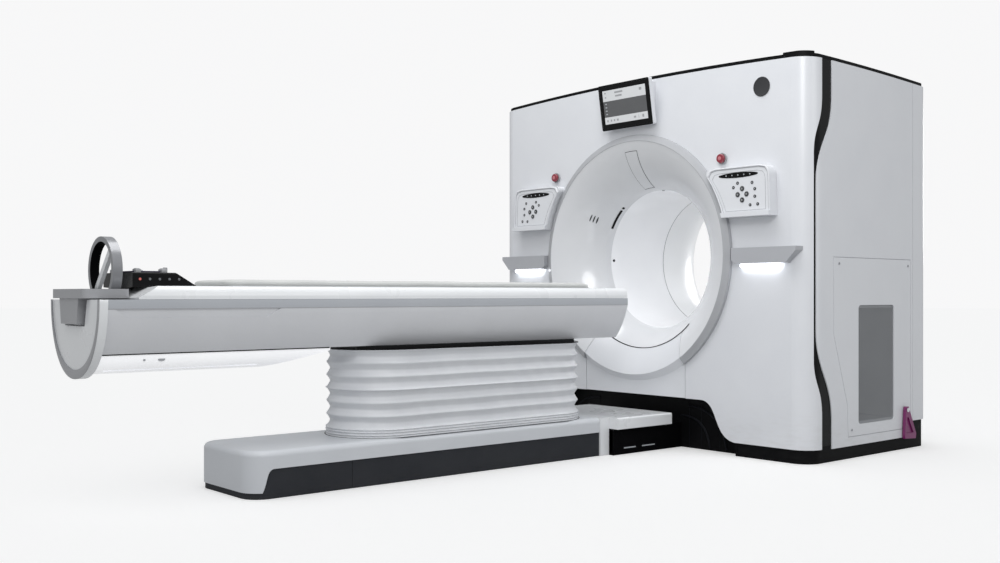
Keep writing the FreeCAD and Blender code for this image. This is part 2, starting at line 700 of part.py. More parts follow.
def control_pod():
    """The right control pod: its inner side follows the ring, with a lip along its lower edge."""
    z_low, z_high = POD_Z
    reach = RING_R + 7
    back = 120.0

    def ring_x(z):
        return sqrt(reach ** 2 - (z - ISO_Z) ** 2)

    def outline(y):
        start = Vec(ring_x(z_low), y, z_low)
        end = Vec(ring_x(z_high - 36), y, z_high - 36)
        middle_z = (z_low + z_high - 36) / 2
        return face_of([
            arc(start, Vec(ring_x(middle_z), y, middle_z), end),
            bezier(end, Vec(end.x - 6, y, z_high), Vec(POD_TOP_IN, y, z_high), Vec(POD_TOP_IN + 36, y, z_high)),
            Part.makeLine(Vec(POD_TOP_IN + 36, y, z_high), Vec(POD_X - 50, y, z_high)),
            bezier(Vec(POD_X - 50, y, z_high), Vec(POD_X - 12, y, z_high), Vec(POD_X, y, z_high - 30), Vec(POD_X, y, z_high - 60)),
            Part.makeLine(Vec(POD_X, y, z_high - 60), Vec(POD_X + 5, y, z_low)),
            Part.makeLine(Vec(POD_X + 5, y, z_low), start),
        ])

    body = outline(POD_FRONT_Y).extrude(Vec(0, back - POD_FRONT_Y, 0))
    lip = box(500, 1100, POD_FRONT_Y - POD_LIP, POD_FRONT_Y + 1, z_low, z_low + 24)
    lip = lip.common(outline(POD_FRONT_Y - POD_LIP - 1).extrude(Vec(0, 60, 0)))
    body = on_face(body.fuse(lip))
    for x, z in key_places():
        body = body.cut(cyl_y(KEY_R + RUN_GAP, POD_FRONT_Y - 5, POD_FRONT_Y + KEY_THICK - KEY_PROUD + KEY_TRAVEL + RUN_GAP, x, z))
    return body


def side_shelves():
    """The small shelves under the pods, hollowed below for their lamps."""
    x0, x1 = SHELF_X
    z0, z1 = SHELF_Z
    outline = [(x0, z1), (x1, z1), (x1, z1 - 20), (x1 - 62, z0), (x0 + 20, z0), (x0, z0 + 20)]
    body = prism_xz(outline, SHELF_FRONT_Y, 180)
    hollow = box(x0 + 28, x1 - 78, SHELF_FRONT_Y + 8, 180, z0 - 1, z0 + 40)
    return both(on_face(body.cut(hollow)).common(box(0, 1300, -50, 170, 0, 2000)))


def e_stop(side):
    """A red stop button with its stem through the front cover."""
    x, z = side * STOP_PLACE[0], STOP_PLACE[1]
    head = cyl_y(STOP_R, FACE_Y - 26, FACE_Y - 10, x, z)
    head = head.makeFillet(5, [e for e in head.Edges if abs(e.CenterOfMass.y - (FACE_Y - 26)) < 1e-3])
    stem = cyl_y(STOP_STEM_R, FACE_Y - 11, FACE_Y + 30, x, z)
    return head.fuse(stem)


def e_stop_collars():
    """The grey collars that guide the two stop buttons."""
    x, z = STOP_PLACE
    collar = tube_y(STOP_R + 4, STOP_STEM_R + RUN_GAP, FACE_Y - 5, FACE_Y + 40, x, z)
    return both(on_face(collar))


def key(side, x, z):
    """One round key in its well."""
    cap = cyl_y(KEY_R, POD_FRONT_Y - KEY_PROUD, POD_FRONT_Y - KEY_PROUD + KEY_THICK, side * x, z)
    rim = [e for e in cap.Edges if abs(e.CenterOfMass.y - (POD_FRONT_Y - KEY_PROUD)) < 1e-3]
    return cap.makeFillet(1.2, rim)


def latch():
    """The right cover latch: a pointed lever hanging from its pin."""
    y, z = LATCH_PIVOT
    x = side_x(y - LATCH_LEN)
    tip_z = z - LATCH_LEN
    outline = [
        (y - 15, z + 8), (y - 9, z + 18), (y + 9, z + 18), (y + 15, z + 8),
        (y + 88, tip_z + 26), (y + 82, tip_z), (y - 24, tip_z + 6), (y - 26, tip_z + 30),
    ]
    lever = prism_yz(outline, x + LATCH_THICK[0], x + LATCH_THICK[1])
    pocket_outline = [(y - 4, z - 40), (y + 8, z - 40), (y + 60, tip_z + 34), (y - 12, tip_z + 34)]
    pocket = prism_yz(pocket_outline, x + LATCH_POCKET, x + LATCH_THICK[1] + 1)
    bore = cyl_x(LATCH_PIN_R + RUN_GAP, x - 10, x + LATCH_THICK[1] + 1, y, z)
    return lever.cut(pocket).cut(bore)


# ---- gantry machinery ----------------------------------------------------------------------------
def base_frame():
    """The welded floor frame, with drilled pads for floor anchors."""
    pieces = []
    for side in (-1, 1):
        pieces.append(box(side * 860 - 55, side * 860 + 55, 150, 1090, 0, BEAM_H))
        for y in ANCHOR_Y:
            pieces.append(box(side * ANCHOR_X - 50, side * ANCHOR_X + 50, y - 50, y + 50, 0, 20))
        for y in OUTRIGGER_Y:
            reach = side_x(y + 30) - PLINTH_INSET - PLINTH_WALL - GAP
            pieces.append(box(min(side * 905, side * reach), max(side * 905, side * reach), y - 30, y + 30, 15, 55))
    for y in (STATOR_Y - 20, 960.0):
        pieces.append(box(-810, 810, y, y + 100, 20, BEAM_H))
    frame = pieces[0].multiFuse(pieces[1:]).removeSplitter()
    for side in (-1, 1):
        for y in ANCHOR_Y:
            frame = frame.cut(cyl_z(ANCHOR_HOLE_R, -1, 21, side * ANCHOR_X, y))
    return frame


def stator_frame():
    """The upright plate that carries the slewing race and the motor."""
    low = BEAM_H + GAP
    outline = [(-915, low), (915, low), (880, ISO_Z), (620, 1760), (-620, 1760), (-880, ISO_Z)]
    plate = prism_xz(outline, STATOR_Y, STATOR_Y + STATOR_THICK)
    plate = plate.cut(cyl_y(HUB_R + RUN_GAP + RACE_WALL + GAP, STATOR_Y - 5, STATOR_Y + STATOR_THICK + 5, 0, ISO_Z))
    x, z = MOTOR_PLACE
    return plate.cut(cyl_y(SHAFT_R + 6, STATOR_Y - 5, STATOR_Y + STATOR_THICK + 5, x, z))


def slewing_race():
    """The fixed race of the slewing bearing."""
    return tube_y(HUB_R + RUN_GAP + RACE_WALL, HUB_R + RUN_GAP, STATOR_Y - 4, STATOR_Y + STATOR_THICK - 2)


def rotor_drum():
    """The rotating disc and its hub."""
    disc = tube_y(DRUM_R, DRUM_BORE_R, DRUM_Y, DRUM_Y + DRUM_THICK)
    hub = tube_y(HUB_R, HUB_R - HUB_WALL, DRUM_Y + DRUM_THICK - 1, STATOR_Y + STATOR_THICK + 62)
    return disc.fuse(hub).removeSplitter()


def xray_tube():
    """The tube housing above the bore, with its collimator pointing at the axis."""
    front = DRUM_Y - GAP
    barrel = Part.makeCylinder(95, 420, Vec(-210, front - 75, ISO_Z + 640), Vec(1, 0, 0))
    collimator = box(-90, 90, front - 115, front, ISO_Z + 450, ISO_Z + 560)
    mount = box(-170, 170, front - 60, front, ISO_Z + 540, ISO_Z + 730)
    body = barrel.fuse(collimator).fuse(mount)
    return body.common(box(-400, 400, front - 200, front, 0, 3000)).removeSplitter()


def detector_arc():
    """The curved detector below the bore, centred on the tube's focus."""
    front = DRUM_Y - GAP
    ring = Part.makeCylinder(1120, 90, Vec(0, front - 90, ISO_Z + 540), Vec(0, 1, 0))
    ring = ring.cut(Part.makeCylinder(1040, 92, Vec(0, front - 91, ISO_Z + 540), Vec(0, 1, 0)))
    wedge = prism_xz([(0, ISO_Z + 540), (-620, ISO_Z - 700), (620, ISO_Z - 700)], front - 95, front + 5)
    return ring.common(wedge)


def hv_generator():
    """The two high-voltage cases that balance the rotor."""
    front = DRUM_Y - GAP
    case = box(470, 700, front - 120, front, ISO_Z - 130, ISO_Z + 230)
    return both(case)


def pulley_offset():
    """Distance between the bore axis and the motor shaft."""
    x, z = MOTOR_PLACE
    return sqrt(x ** 2 + (z - ISO_Z) ** 2)


def belt_loop(big, small, y0, y1):
    """The solid inside a belt that runs round the hub and the pulley."""
    x, z = MOTOR_PLACE
    span = pulley_offset()
    along = Vec(x / span, 0, (z - ISO_Z) / span)
    across = Vec(-along.z, 0, along.x)
    lean = acos((big - small) / span)

    def at(centre, radius, angle):
        return centre + along * (radius * cos(angle)) + across * (radius * sin(angle))

    hub = Vec(0, y0, ISO_Z)
    shaft = Vec(x, y0, z)
    edges = [
        arc(at(hub, big, lean), at(hub, big, pi), at(hub, big, -lean)),
        Part.makeLine(at(hub, big, -lean), at(shaft, small, -lean)),
        arc(at(shaft, small, -lean), at(shaft, small, 0), at(shaft, small, lean)),
        Part.makeLine(at(shaft, small, lean), at(hub, big, lean)),
    ]
    return face_of(edges).extrude(Vec(0, y1 - y0, 0))


def drive_belt():
    """The belt between the rotor hub and the motor pulley."""
    y0 = STATOR_Y + STATOR_THICK + 12
    y1 = y0 + BELT_WIDTH
    outer = belt_loop(HUB_R + RUN_GAP + BELT_THICK, PULLEY_R + RUN_GAP + BELT_THICK, y0, y1)
    return outer.cut(belt_loop(HUB_R + RUN_GAP, PULLEY_R + RUN_GAP, y0 - 1, y1 + 1))


def drive_motor():
    """The motor on the front of the stator plate, with a collar that reaches into its hole."""
    x, z = MOTOR_PLACE
    can = cyl_y(MOTOR_R, STATOR_Y - 150, STATOR_Y - GAP, x, z)
    collar = cyl_y(SHAFT_R + 5, STATOR_Y - 1, STATOR_Y + STATOR_THICK - 5, x, z)
    return can.fuse(collar).cut(cyl_y(SHAFT_R + RUN_GAP, STATOR_Y - 60, STATOR_Y + STATOR_THICK + 5, x, z))


def motor_pulley():
    """The belt pulley and its shaft."""
    x, z = MOTOR_PLACE
    y0 = STATOR_Y + STATOR_THICK + 9
    wheel = cyl_y(PULLEY_R, y0, y0 + BELT_WIDTH + 6, x, z)
    shaft = cyl_y(SHAFT_R, STATOR_Y - 50, y0 + 1, x, z)
    wheel = wheel.cut(tube_y(PULLEY_R - 10, SHAFT_R + 8, y0 + 12, y0 + BELT_WIDTH + 20, x, z))
    return wheel.fuse(shaft)


# ---- table base and lift -------------------------------------------------------------------------
def base_block(inset, z0, z1):
    """The table base's plan form, round at the foot end."""
    block = box(-BASE_HALF_W + inset, BASE_HALF_W - inset, BASE_Y[0] + inset, BASE_Y[1], z0, z1)
    nose = [e for e in edges_along(block, Vec(0, 0, 1)) if e.Vertexes[0].Point.y < BASE_Y[0] + inset + 1]
    return block.makeFillet(BASE_NOSE_R - inset, nose)


def soft_block(inset, z0, z1):
    """The table base's plan form with its upper rim rounded."""
    block = base_block(inset, z0, z1)
    rim = [e for e in block.Edges if e.BoundBox.ZMin > z1 - 1 and e.BoundBox.YMin < BASE_Y[1] - 1]
    return block.makeFillet(BASE_EDGE_R - inset, rim)


def table_base_cover():
    """The white cover of the base, which wraps down round the foot end."""
    outer = soft_block(0, NOSE_BOTTOM, BASE_TOP)
    inner = soft_block(BASE_WALL, NOSE_BOTTOM - 1, BASE_TOP - BASE_WALL)
    low, high = NOSE_FOOT_Y
    z_mid = (NOSE_BOTTOM + SKIRT_TOP) / 2
    x = -BASE_HALF_W - 10
    edges = [
        bezier(Vec(x, low, NOSE_BOTTOM - 2), Vec(x, low + 24, z_mid), Vec(x, low + 14, SKIRT_TOP), Vec(x, high, SKIRT_TOP)),
        Part.makeLine(Vec(x, high, SKIRT_TOP), Vec(x, BASE_Y[1] + 10, SKIRT_TOP)),
        Part.makeLine(Vec(x, BASE_Y[1] + 10, SKIRT_TOP), Vec(x, BASE_Y[1] + 10, NOSE_BOTTOM - 2)),
        Part.makeLine(Vec(x, BASE_Y[1] + 10, NOSE_BOTTOM - 2), Vec(x, low, NOSE_BOTTOM - 2)),
    ]
    sides = face_of(edges).extrude(Vec(2 * BASE_HALF_W + 20, 0, 0))
    hole = box(-COLUMN_HALF[0] - 6, COLUMN_HALF[0] + 6, COLUMN_Y - COLUMN_HALF[1] - 6, COLUMN_Y + COLUMN_HALF[1] + 6, 150, 250)
    return outer.cut(inner).cut(sides).cut(hole)


def table_side_panels():
    """The dark skirt behind the cover, in a nose part and two side parts."""
    inset = BASE_WALL + GAP
    high = BASE_TOP - BASE_EDGE_R - 2
    skirt = base_block(inset, 0, high).cut(base_block(inset + 5, -1, high + 1))
    return skirt.cut(box(-400, 400, SKIRT_SEAM_Y - 1, SKIRT_SEAM_Y + 1, -1, BASE_TOP))


def table_base_frame():
    """The steel floor plate of the table, drilled for anchors, with ribs under the lift."""
    inset = BASE_WALL + GAP + 5 + GAP
    plate = box(-BASE_HALF_W + inset, BASE_HALF_W - inset, BASE_Y[0] + 110, BASE_Y[1] - 1, 0, 24)
    ribs = [box(s * 150 - 8, s * 150 + 8, BASE_Y[0] + 140, BASE_Y[1] - 20, 23, 140) for s in (-1, 1)]
    frame = plate.multiFuse(ribs).removeSplitter()
    x, y0, y1 = TABLE_ANCHOR
    for side in (-1, 1):
        for y in (y0, y1):
            frame = frame.cut(cyl_z(ANCHOR_HOLE_R, -1, 25, side * x, y))
    return frame


def lift_stage(level):
    """One square tube of the telescopic lift; each next one is smaller and stands one step higher."""
    shrink = level * (COLUMN_WALL + RUN_GAP)
    hx, hy = COLUMN_HALF[0] - shrink, COLUMN_HALF[1] - shrink
    low = 24 + GAP + level * STAGE_STEP
    length = CARRIAGE_Z[0] - GAP - 24 - GAP - 2 * STAGE_STEP
    outer = box(-hx, hx, COLUMN_Y - hy, COLUMN_Y + hy, low, low + length)
    wall = COLUMN_WALL
    return outer.cut(box(-hx + wall, hx - wall, COLUMN_Y - hy + wall, COLUMN_Y + hy - wall, low - 1, low + length + 1))


def bellows_outline(shrink):
    """The bellows' stack of outlines, wide and narrow in turn, set in by shrink."""
    heights = [BASE_TOP + GAP]
    widths = [0.0]
    for n in range(BELLOWS_TIGHT):
        heights += [heights[-1] + BELLOWS_TIGHT_PITCH / 2, heights[-1] + BELLOWS_TIGHT_PITCH]
        widths += [6.0, 0.0]
    pitch = (CARRIAGE_Z[0] - GAP - heights[-1]) / BELLOWS_PLEATS
    for n in range(BELLOWS_PLEATS):
        heights += [heights[-1] + pitch / 2, heights[-1] + pitch]
        widths += [BELLOWS_DEEP, 0.0]
    return [
        stadium(BELLOWS_HALF_W - w - shrink, BELLOWS_Y[0] + w + shrink, BELLOWS_Y[1] - w - shrink, z)
        for w, z in zip(widths, heights)
    ]


def bellows():
    """The pleated sleeve round the lift."""
    outer = Part.makeLoft(bellows_outline(0), True, True)
    inner = Part.makeLoft(bellows_outline(BELLOWS_WALL), True, True)
    return outer.cut(inner)


def carriage():
    """The plate on top of the lift, with the dark trim that shows under the beam."""
    z0, z1 = CARRIAGE_Z
    plate = Part.Face(stadium(BELLOWS_HALF_W - 4, BELLOWS_Y[0] + 4, BELLOWS_Y[1] - 4, z0)).extrude(Vec(0, 0, 5))
    y0, y1 = TRIM_Y
    half = BEAM_FOOT_HALF_W + 22
    outline = [Vec(-half + 60, y0, z0), Vec(half - 60, y0, z0), Vec(half, y0 + 90, z0), Vec(half, y1 - 60, z0),
               Vec(half - 60, y1, z0), Vec(-half + 60, y1, z0), Vec(-half, y1 - 60, z0), Vec(-half, y0 + 90, z0)]
    trim = face_of(loop(outline)).extrude(Vec(0, 0, z1 - z0))
    return plate.fuse(trim).removeSplitter()


def floor_bridge():
    """The white platform between the table and the gantry, with its upright band."""
    x = BRIDGE_HALF_W
    slab = box(-x, x, BRIDGE_Y[0], BRIDGE_Y[1], BASE_TOP - BRIDGE_THICK, BASE_TOP)
    slab = slab.makeFillet(10, top_edges(slab, BASE_TOP))
    band = box(-BASE_HALF_W - 4, BASE_HALF_W + 4, BASE_Y[1] + GAP, BASE_Y[1] + GAP + BAND_WIDTH, 0, BASE_TOP - 1)
    band = band.cut(box(-BASE_HALF_W + 30, BASE_HALF_W - 30, BASE_Y[1], BRIDGE_Y[0] + 5, -1, BASE_TOP - BRIDGE_THICK))
    return slab.fuse(band).removeSplitter()


def top_edges(shape, z):
    """The long edges round the top of a slab."""
    return [e for e in shape.Edges if e.BoundBox.ZMin > z - 0.01 and e.BoundBox.XLength < 1]


def bridge_box():
    """The dark cable box under the platform."""
    high = BASE_TOP - BRIDGE_THICK - GAP
    start = BASE_Y[1] + GAP + BAND_WIDTH + GAP
    half = BRIDGE_HALF_W - 34
    body = box(-half, half, start, RECESS_Y - GAP, 0, high)
    hollow = box(-half + 8, half - 8, start - 10, RECESS_Y + 10, 8, high - 8)
    return body.cut(hollow)


# ---- table top -----------------------------------------------------------------------------------
def beam_outline(inset, y, floor):
    """The trough section of the beam, as closed edges."""
    half = BEAM_HALF_W - inset
    foot = BEAM_FOOT_HALF_W - inset * 0.7
    mid_z = (BEAM_BAND_Z + floor) / 2
    bulge = (half + foot) / 2 + 12
    top = BEAM_TOP + (10 if inset else 0)
    return [
        Part.makeLine(Vec(-half, y, top), Vec(-half, y, BEAM_BAND_Z)),
        arc(Vec(-half, y, BEAM_BAND_Z), Vec(-bulge, y, mid_z), Vec(-foot, y, floor)),
        Part.makeLine(Vec(-foot, y, floor), Vec(foot, y, floor)),
        arc(Vec(foot, y, floor), Vec(bulge, y, mid_z), Vec(half, y, BEAM_BAND_Z)),
        Part.makeLine(Vec(half, y, BEAM_BAND_Z), Vec(half, y, top)),
        Part.makeLine(Vec(half, y, top), Vec(-half, y, top)),
    ]


def table_beam():
    """The long trough that carries the cradle, closed at the gantry end."""
    y0, y1 = BEAM_Y
    outer = face_of(beam_outline(0, y0, BEAM_BOTTOM)).extrude(Vec(0, y1 - y0, 0))
    floor = BEAM_BOTTOM + BEAM_WALL
    inner = face_of(beam_outline(BEAM_WALL, y0 - 1, floor)).extrude(Vec(0, y1 - y0 + 1 - BEAM_WALL, 0))
    return outer.cut(inner)


def beam_pan():
    """The shallow white pan under the foot half of the beam."""
    y0, y1 = BEAM_Y[0] + 2, PAN_END_Y[1]
    top = BEAM_BOTTOM - GAP
    half = BEAM_FOOT_HALF_W - 2
    low = top - PAN_DEPTH
    edges = [
        Part.makeLine(Vec(-half, y0, top), Vec(half, y0, top)),
        bezier(Vec(half, y0, top), Vec(half - 14, y0, low + 20), Vec(half - 45, y0, low), Vec(0, y0, low)),
        bezier(Vec(0, y0, low), Vec(-half + 45, y0, low), Vec(-half + 14, y0, low + 20), Vec(-half, y0, top)),
    ]
    body = face_of(edges).extrude(Vec(0, y1 - y0, 0))
    slope = prism_yz([(PAN_END_Y[0], low - 5), (y1 + 5, low - 5), (y1 + 5, top - 12)], -half - 20, half + 20)
    hollow = box(-half + 40, half - 40, y0 + 30, PAN_END_Y[0], low + 14, top + 1)
    return body.cut(slope).cut(hollow)


def beam_end_cap():
    """The round-bottomed end plate, notched for the cradle bracket."""
    y1 = BEAM_Y[0] - GAP
    y0 = y1 - ENDCAP_THICK
    half, low = ENDCAP_HALF_W, ENDCAP_BOTTOM
    edges = [
        bezier(Vec(half, y0, BEAM_TOP), Vec(half, y0, 640), Vec(150, y0, low), Vec(0, y0, low)),
        bezier(Vec(0, y0, low), Vec(-150, y0, low), Vec(-half, y0, 640), Vec(-half, y0, BEAM_TOP)),
        Part.makeLine(Vec(-half, y0, BEAM_TOP), Vec(half, y0, BEAM_TOP)),
    ]
    body = face_of(edges).extrude(Vec(0, y1 - y0, 0))
    narrow, wide = NOTCH_HALF_W
    notch = [(-narrow, NOTCH_BOTTOM), (narrow, NOTCH_BOTTOM), (wide, BEAM_TOP + 5), (-wide, BEAM_TOP + 5)]
    return body.cut(prism_xz(notch, y0 - 5, y1 + 5))


def cradle_rails():
    """The two rails inside the beam that the cradle slides on."""
    inner = BEAM_INNER_HALF_W - GAP
    rail = box(inner - 34, inner, BEAM_Y[0] + 6, BEAM_Y[1] - 30, BEAM_BAND_Z + 4, CRADLE_Z[0] - RUN_GAP)
    return both(rail)


def cradle():
    """The patient cradle: a shallow dished board with a chamfered foot end."""
    (z0, z1), (y0, y1) = CRADLE_Z, CRADLE_Y
    half, top = BEAM_HALF_W - 3, CRADLE_TOP_HALF_W
    edges = [
        Part.makeLine(Vec(-half, y0, z0), Vec(half, y0, z0)),
        Part.makeLine(Vec(half, y0, z0), Vec(half, y0, z0 + 14)),
        bezier(Vec(half, y0, z0 + 14), Vec(half - 3, y0, z1 - 8), Vec(top + 8, y0, z1), Vec(top, y0, z1)),
        arc(Vec(top, y0, z1), Vec(0, y0, z1 - CRADLE_DISH), Vec(-top, y0, z1)),
        bezier(Vec(-top, y0, z1), Vec(-top - 8, y0, z1), Vec(-half + 3, y0, z1 - 8), Vec(-half, y0, z0 + 14)),
        Part.makeLine(Vec(-half, y0, z0 + 14), Vec(-half, y0, z0)),
    ]
    body = face_of(edges).extrude(Vec(0, y1 - y0, 0))
    chamfer = prism_yz([(y0 - 5, z0 + 4), (y0 - 5, z1 + 5), (y0 + 95, z1 + 5)], -300, 300)
    return body.cut(chamfer)


def above_cradle(half_w, y0, y1, high):
    """A block whose underside follows the cradle's dish."""
    def surface(x):
        return CRADLE_Z[1] - CRADLE_DISH * (1 - (x / CRADLE_TOP_HALF_W) ** 2) + RUN_GAP

    edges = [
        arc(Vec(-half_w, y0, surface(half_w)), Vec(0, y0, surface(0)), Vec(half_w, y0, surface(half_w))),
        Part.makeLine(Vec(half_w, y0, surface(half_w)), Vec(half_w, y0, high)),
        Part.makeLine(Vec(half_w, y0, high), Vec(-half_w, y0, high)),
        Part.makeLine(Vec(-half_w, y0, high), Vec(-half_w, y0, surface(half_w))),
    ]
    return face_of(edges).extrude(Vec(0, y1 - y0, 0))


def mattress_pad():
    """The thin mattress, its underside following the cradle."""
    body = above_cradle(PAD_HALF_W, PAD_Y[0], PAD_Y[1], CRADLE_Z[1] + PAD_THICK - 6)
    return body.makeFillet(8, upper_edges(body, CRADLE_Z[1] + PAD_THICK - 6))


def upper_edges(shape, z):
    """The long edges at the top of a block that runs along Y."""
    return [e for e in edges_along(shape, Vec(0, 1, 0)) if e.BoundBox.ZMin > z - 0.01]


def cradle_bracket():
    """The foot bracket: a block over the end cap, with a tongue down through its notch."""
    y0, y1 = BRACKET_Y
    block = box(-BRACKET_HALF_W, BRACKET_HALF_W, y0, y1, CRADLE_Z[0] + 4, BRACKET_TOP)
    block = block.makeFillet(14, edges_along(block, Vec(0, 0, 1)))
    tongue = prism_xz([
        (-TONGUE_HALF_W + 6, TONGUE_BOTTOM), (TONGUE_HALF_W - 6, TONGUE_BOTTOM),
        (TONGUE_HALF_W + 10, CRADLE_Z[0] + 5), (-TONGUE_HALF_W - 10, CRADLE_Z[0] + 5),
    ], y0 + 8, y1 - 20)
    plate = box(-BRACKET_HALF_W + 15, BRACKET_HALF_W - 15, y1 - 30, y1 + 160, CRADLE_Z[0] - 14, CRADLE_Z[0] - GAP)
    web = box(-60, 60, y1 - 30, y1 - 1, CRADLE_Z[0] - 20, CRADLE_Z[0] + 10)
    return block.multiFuse([tongue, plate, web]).removeSplitter()


def hoop_handle():
    """The ring handle that stands on the bracket, with a slanting stay."""
    seat = BRACKET_TOP + GAP
    ring = tube_y(HOOP_R + HOOP_RADIAL / 2, HOOP_R - HOOP_RADIAL / 2, HOOP_Y - HOOP_AXIAL / 2, HOOP_Y + HOOP_AXIAL / 2, 0, HOOP_Z)
    ring = ring.cut(box(-300, 300, HOOP_Y - 50, HOOP_Y + 50, 0, seat))
    stay = prism_xz([(-96, seat), (-60, seat), (96, HOOP_Z + 90), (78, HOOP_Z + 106)], HOOP_Y - 8, HOOP_Y + 8)
    stay = stay.common(cyl_y(HOOP_R, HOOP_Y - 20, HOOP_Y + 20, 0, HOOP_Z))
    return ring.fuse(stay).removeSplitter()


def foot_console():
    """The black control console at the foot of the cradle."""
    y0, y1 = CONSOLE_Y
    body = above_cradle(CONSOLE_HALF_W, y0, y1, CONSOLE_TOP)
    slope = prism_yz([(y1 + 5, CRADLE_Z[1]), (y1 + 5, CONSOLE_TOP + 5), (y1 - 92, CONSOLE_TOP + 5)], -200, 200)
    body = body.cut(slope)
    return body.makeFillet(6, upper_edges(body, CONSOLE_TOP))


# ---- the whole machine ---------------------------------------------------------------------------
def pieces():
    """Every piece by name."""
    found = {
        "base_frame": base_frame(),
        "stator_frame": stator_frame(),
        "slewing_race": slewing_race(),
        "rotor_drum": rotor_drum(),
        "xray_tube": xray_tube(),
        "detector_arc": detector_arc(),
        "hv_generator": hv_generator(),
        "drive_motor": drive_motor(),
        "motor_pulley": motor_pulley(),
        "drive_belt": drive_belt(),
        "front_cover": front_cover(),
        "dish_cover": dish_cover(),
        "dish_ring_trim": dish_ring_trim(),
        "lower_front_panel": lower_front_panel(),
        "bore_liner": bore_liner(),
        "rear_funnel": rear_funnel(),
        "rear_cover": rear_cover(),
        "side_covers": side_covers(),
        "corner_strips": corner_strips(),
        "top_cap": top_cap(),
        "plinth": plinth(),
        "service_panels": service_panels(),
        "vent_grilles": vent_grilles(),
        "panel_screws": panel_screws(),
        "latch_right": latch(),
        "latch_left": mirrored(latch()),
        "display_housing": display_housing(),
        "display_screen": display_screen(),
        "control_pods": both(control_pod()),
        "side_shelves": side_shelves(),
        "e_stop_right": e_stop(1),
        "e_stop_left": e_stop(-1),
        "e_stop_collars": e_stop_collars(),
        "table_base_frame": table_base_frame(),
        "table_base_cover": table_base_cover(),
        "table_side_panels": table_side_panels(),
        "floor_bridge": floor_bridge(),
        "bridge_box": bridge_box(),
        "lift_column": lift_stage(0),
        "lift_stage": lift_stage(1),
        "lift_mast": lift_stage(2),
        "bellows": bellows(),
        "table_carriage": carriage(),
        "table_beam": table_beam(),
        "beam_pan": beam_pan(),
        "beam_end_cap": beam_end_cap(),
        "cradle_rails": cradle_rails(),
        "cradle": cradle(),
        "mattress_pad": mattress_pad(),
        "cradle_bracket": cradle_bracket(),
        "hoop_handle": hoop_handle(),
        "foot_console": foot_console(),
    }
    for name, place in zip(("up", "left", "right", "down"), key_places()):
        found["key_right_" + name] = key(1, *place)
        found["key_left_" + name] = key(-1, *place)
    return found


def main():
    """Write one STEP file for each piece."""
    os.makedirs("parts", exist_ok=True)
    for name, shape in pieces().items():
        shape.translate(Vec(0, ORIGIN_SHIFT, 0))
        shape.exportStep(os.path.join("parts", name + ".step"))


main()
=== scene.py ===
"""A CT scanner dressed for the eye: covers, bore, patient table and the plain studio it stands in."""

import logging
import math
import random
from collections.abc import Callable
from dataclasses import dataclass, field
from enum import Enum

import bpy
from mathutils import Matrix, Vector


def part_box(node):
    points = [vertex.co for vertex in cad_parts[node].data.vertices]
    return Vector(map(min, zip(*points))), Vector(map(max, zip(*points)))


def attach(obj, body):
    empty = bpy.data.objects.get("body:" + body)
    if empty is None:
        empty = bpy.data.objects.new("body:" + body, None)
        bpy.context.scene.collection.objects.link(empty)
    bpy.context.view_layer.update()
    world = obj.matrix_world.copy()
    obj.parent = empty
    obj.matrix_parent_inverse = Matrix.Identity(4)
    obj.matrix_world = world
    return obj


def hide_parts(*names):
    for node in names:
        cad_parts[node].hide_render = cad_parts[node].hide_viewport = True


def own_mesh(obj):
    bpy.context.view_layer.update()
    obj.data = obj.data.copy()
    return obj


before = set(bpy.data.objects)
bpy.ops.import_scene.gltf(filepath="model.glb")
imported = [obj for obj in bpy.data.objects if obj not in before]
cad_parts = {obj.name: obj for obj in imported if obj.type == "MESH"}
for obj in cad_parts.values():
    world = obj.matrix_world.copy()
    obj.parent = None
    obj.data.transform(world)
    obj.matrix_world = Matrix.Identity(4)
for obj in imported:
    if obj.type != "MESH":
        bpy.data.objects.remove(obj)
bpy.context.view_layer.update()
LOG = logging.getLogger("ct_scanner")

RING_Y = 0.975          # front plane of the ring trim
ISO_Z = 1.049           # height of the bore axis
FACE_ON = (math.pi / 2, 0.0, 0.0)          # turn of a drum that points at the front
ALONG_X = (0.0, math.pi / 2, 0.0)          # turn of a drum that points sideways
Tone = tuple[float, float, float]
Point = tuple[float, float, float]


# ---- finishes ------------------------------------------------------------------------------------
class Pattern(Enum):
    """The fine pattern that a finish carries."""

    LACQUER = "lacquer"
    MOULDED = "moulded"
    BRUSHED = "brushed"
    WOVEN = "woven"
    SHEETED = "sheeted"


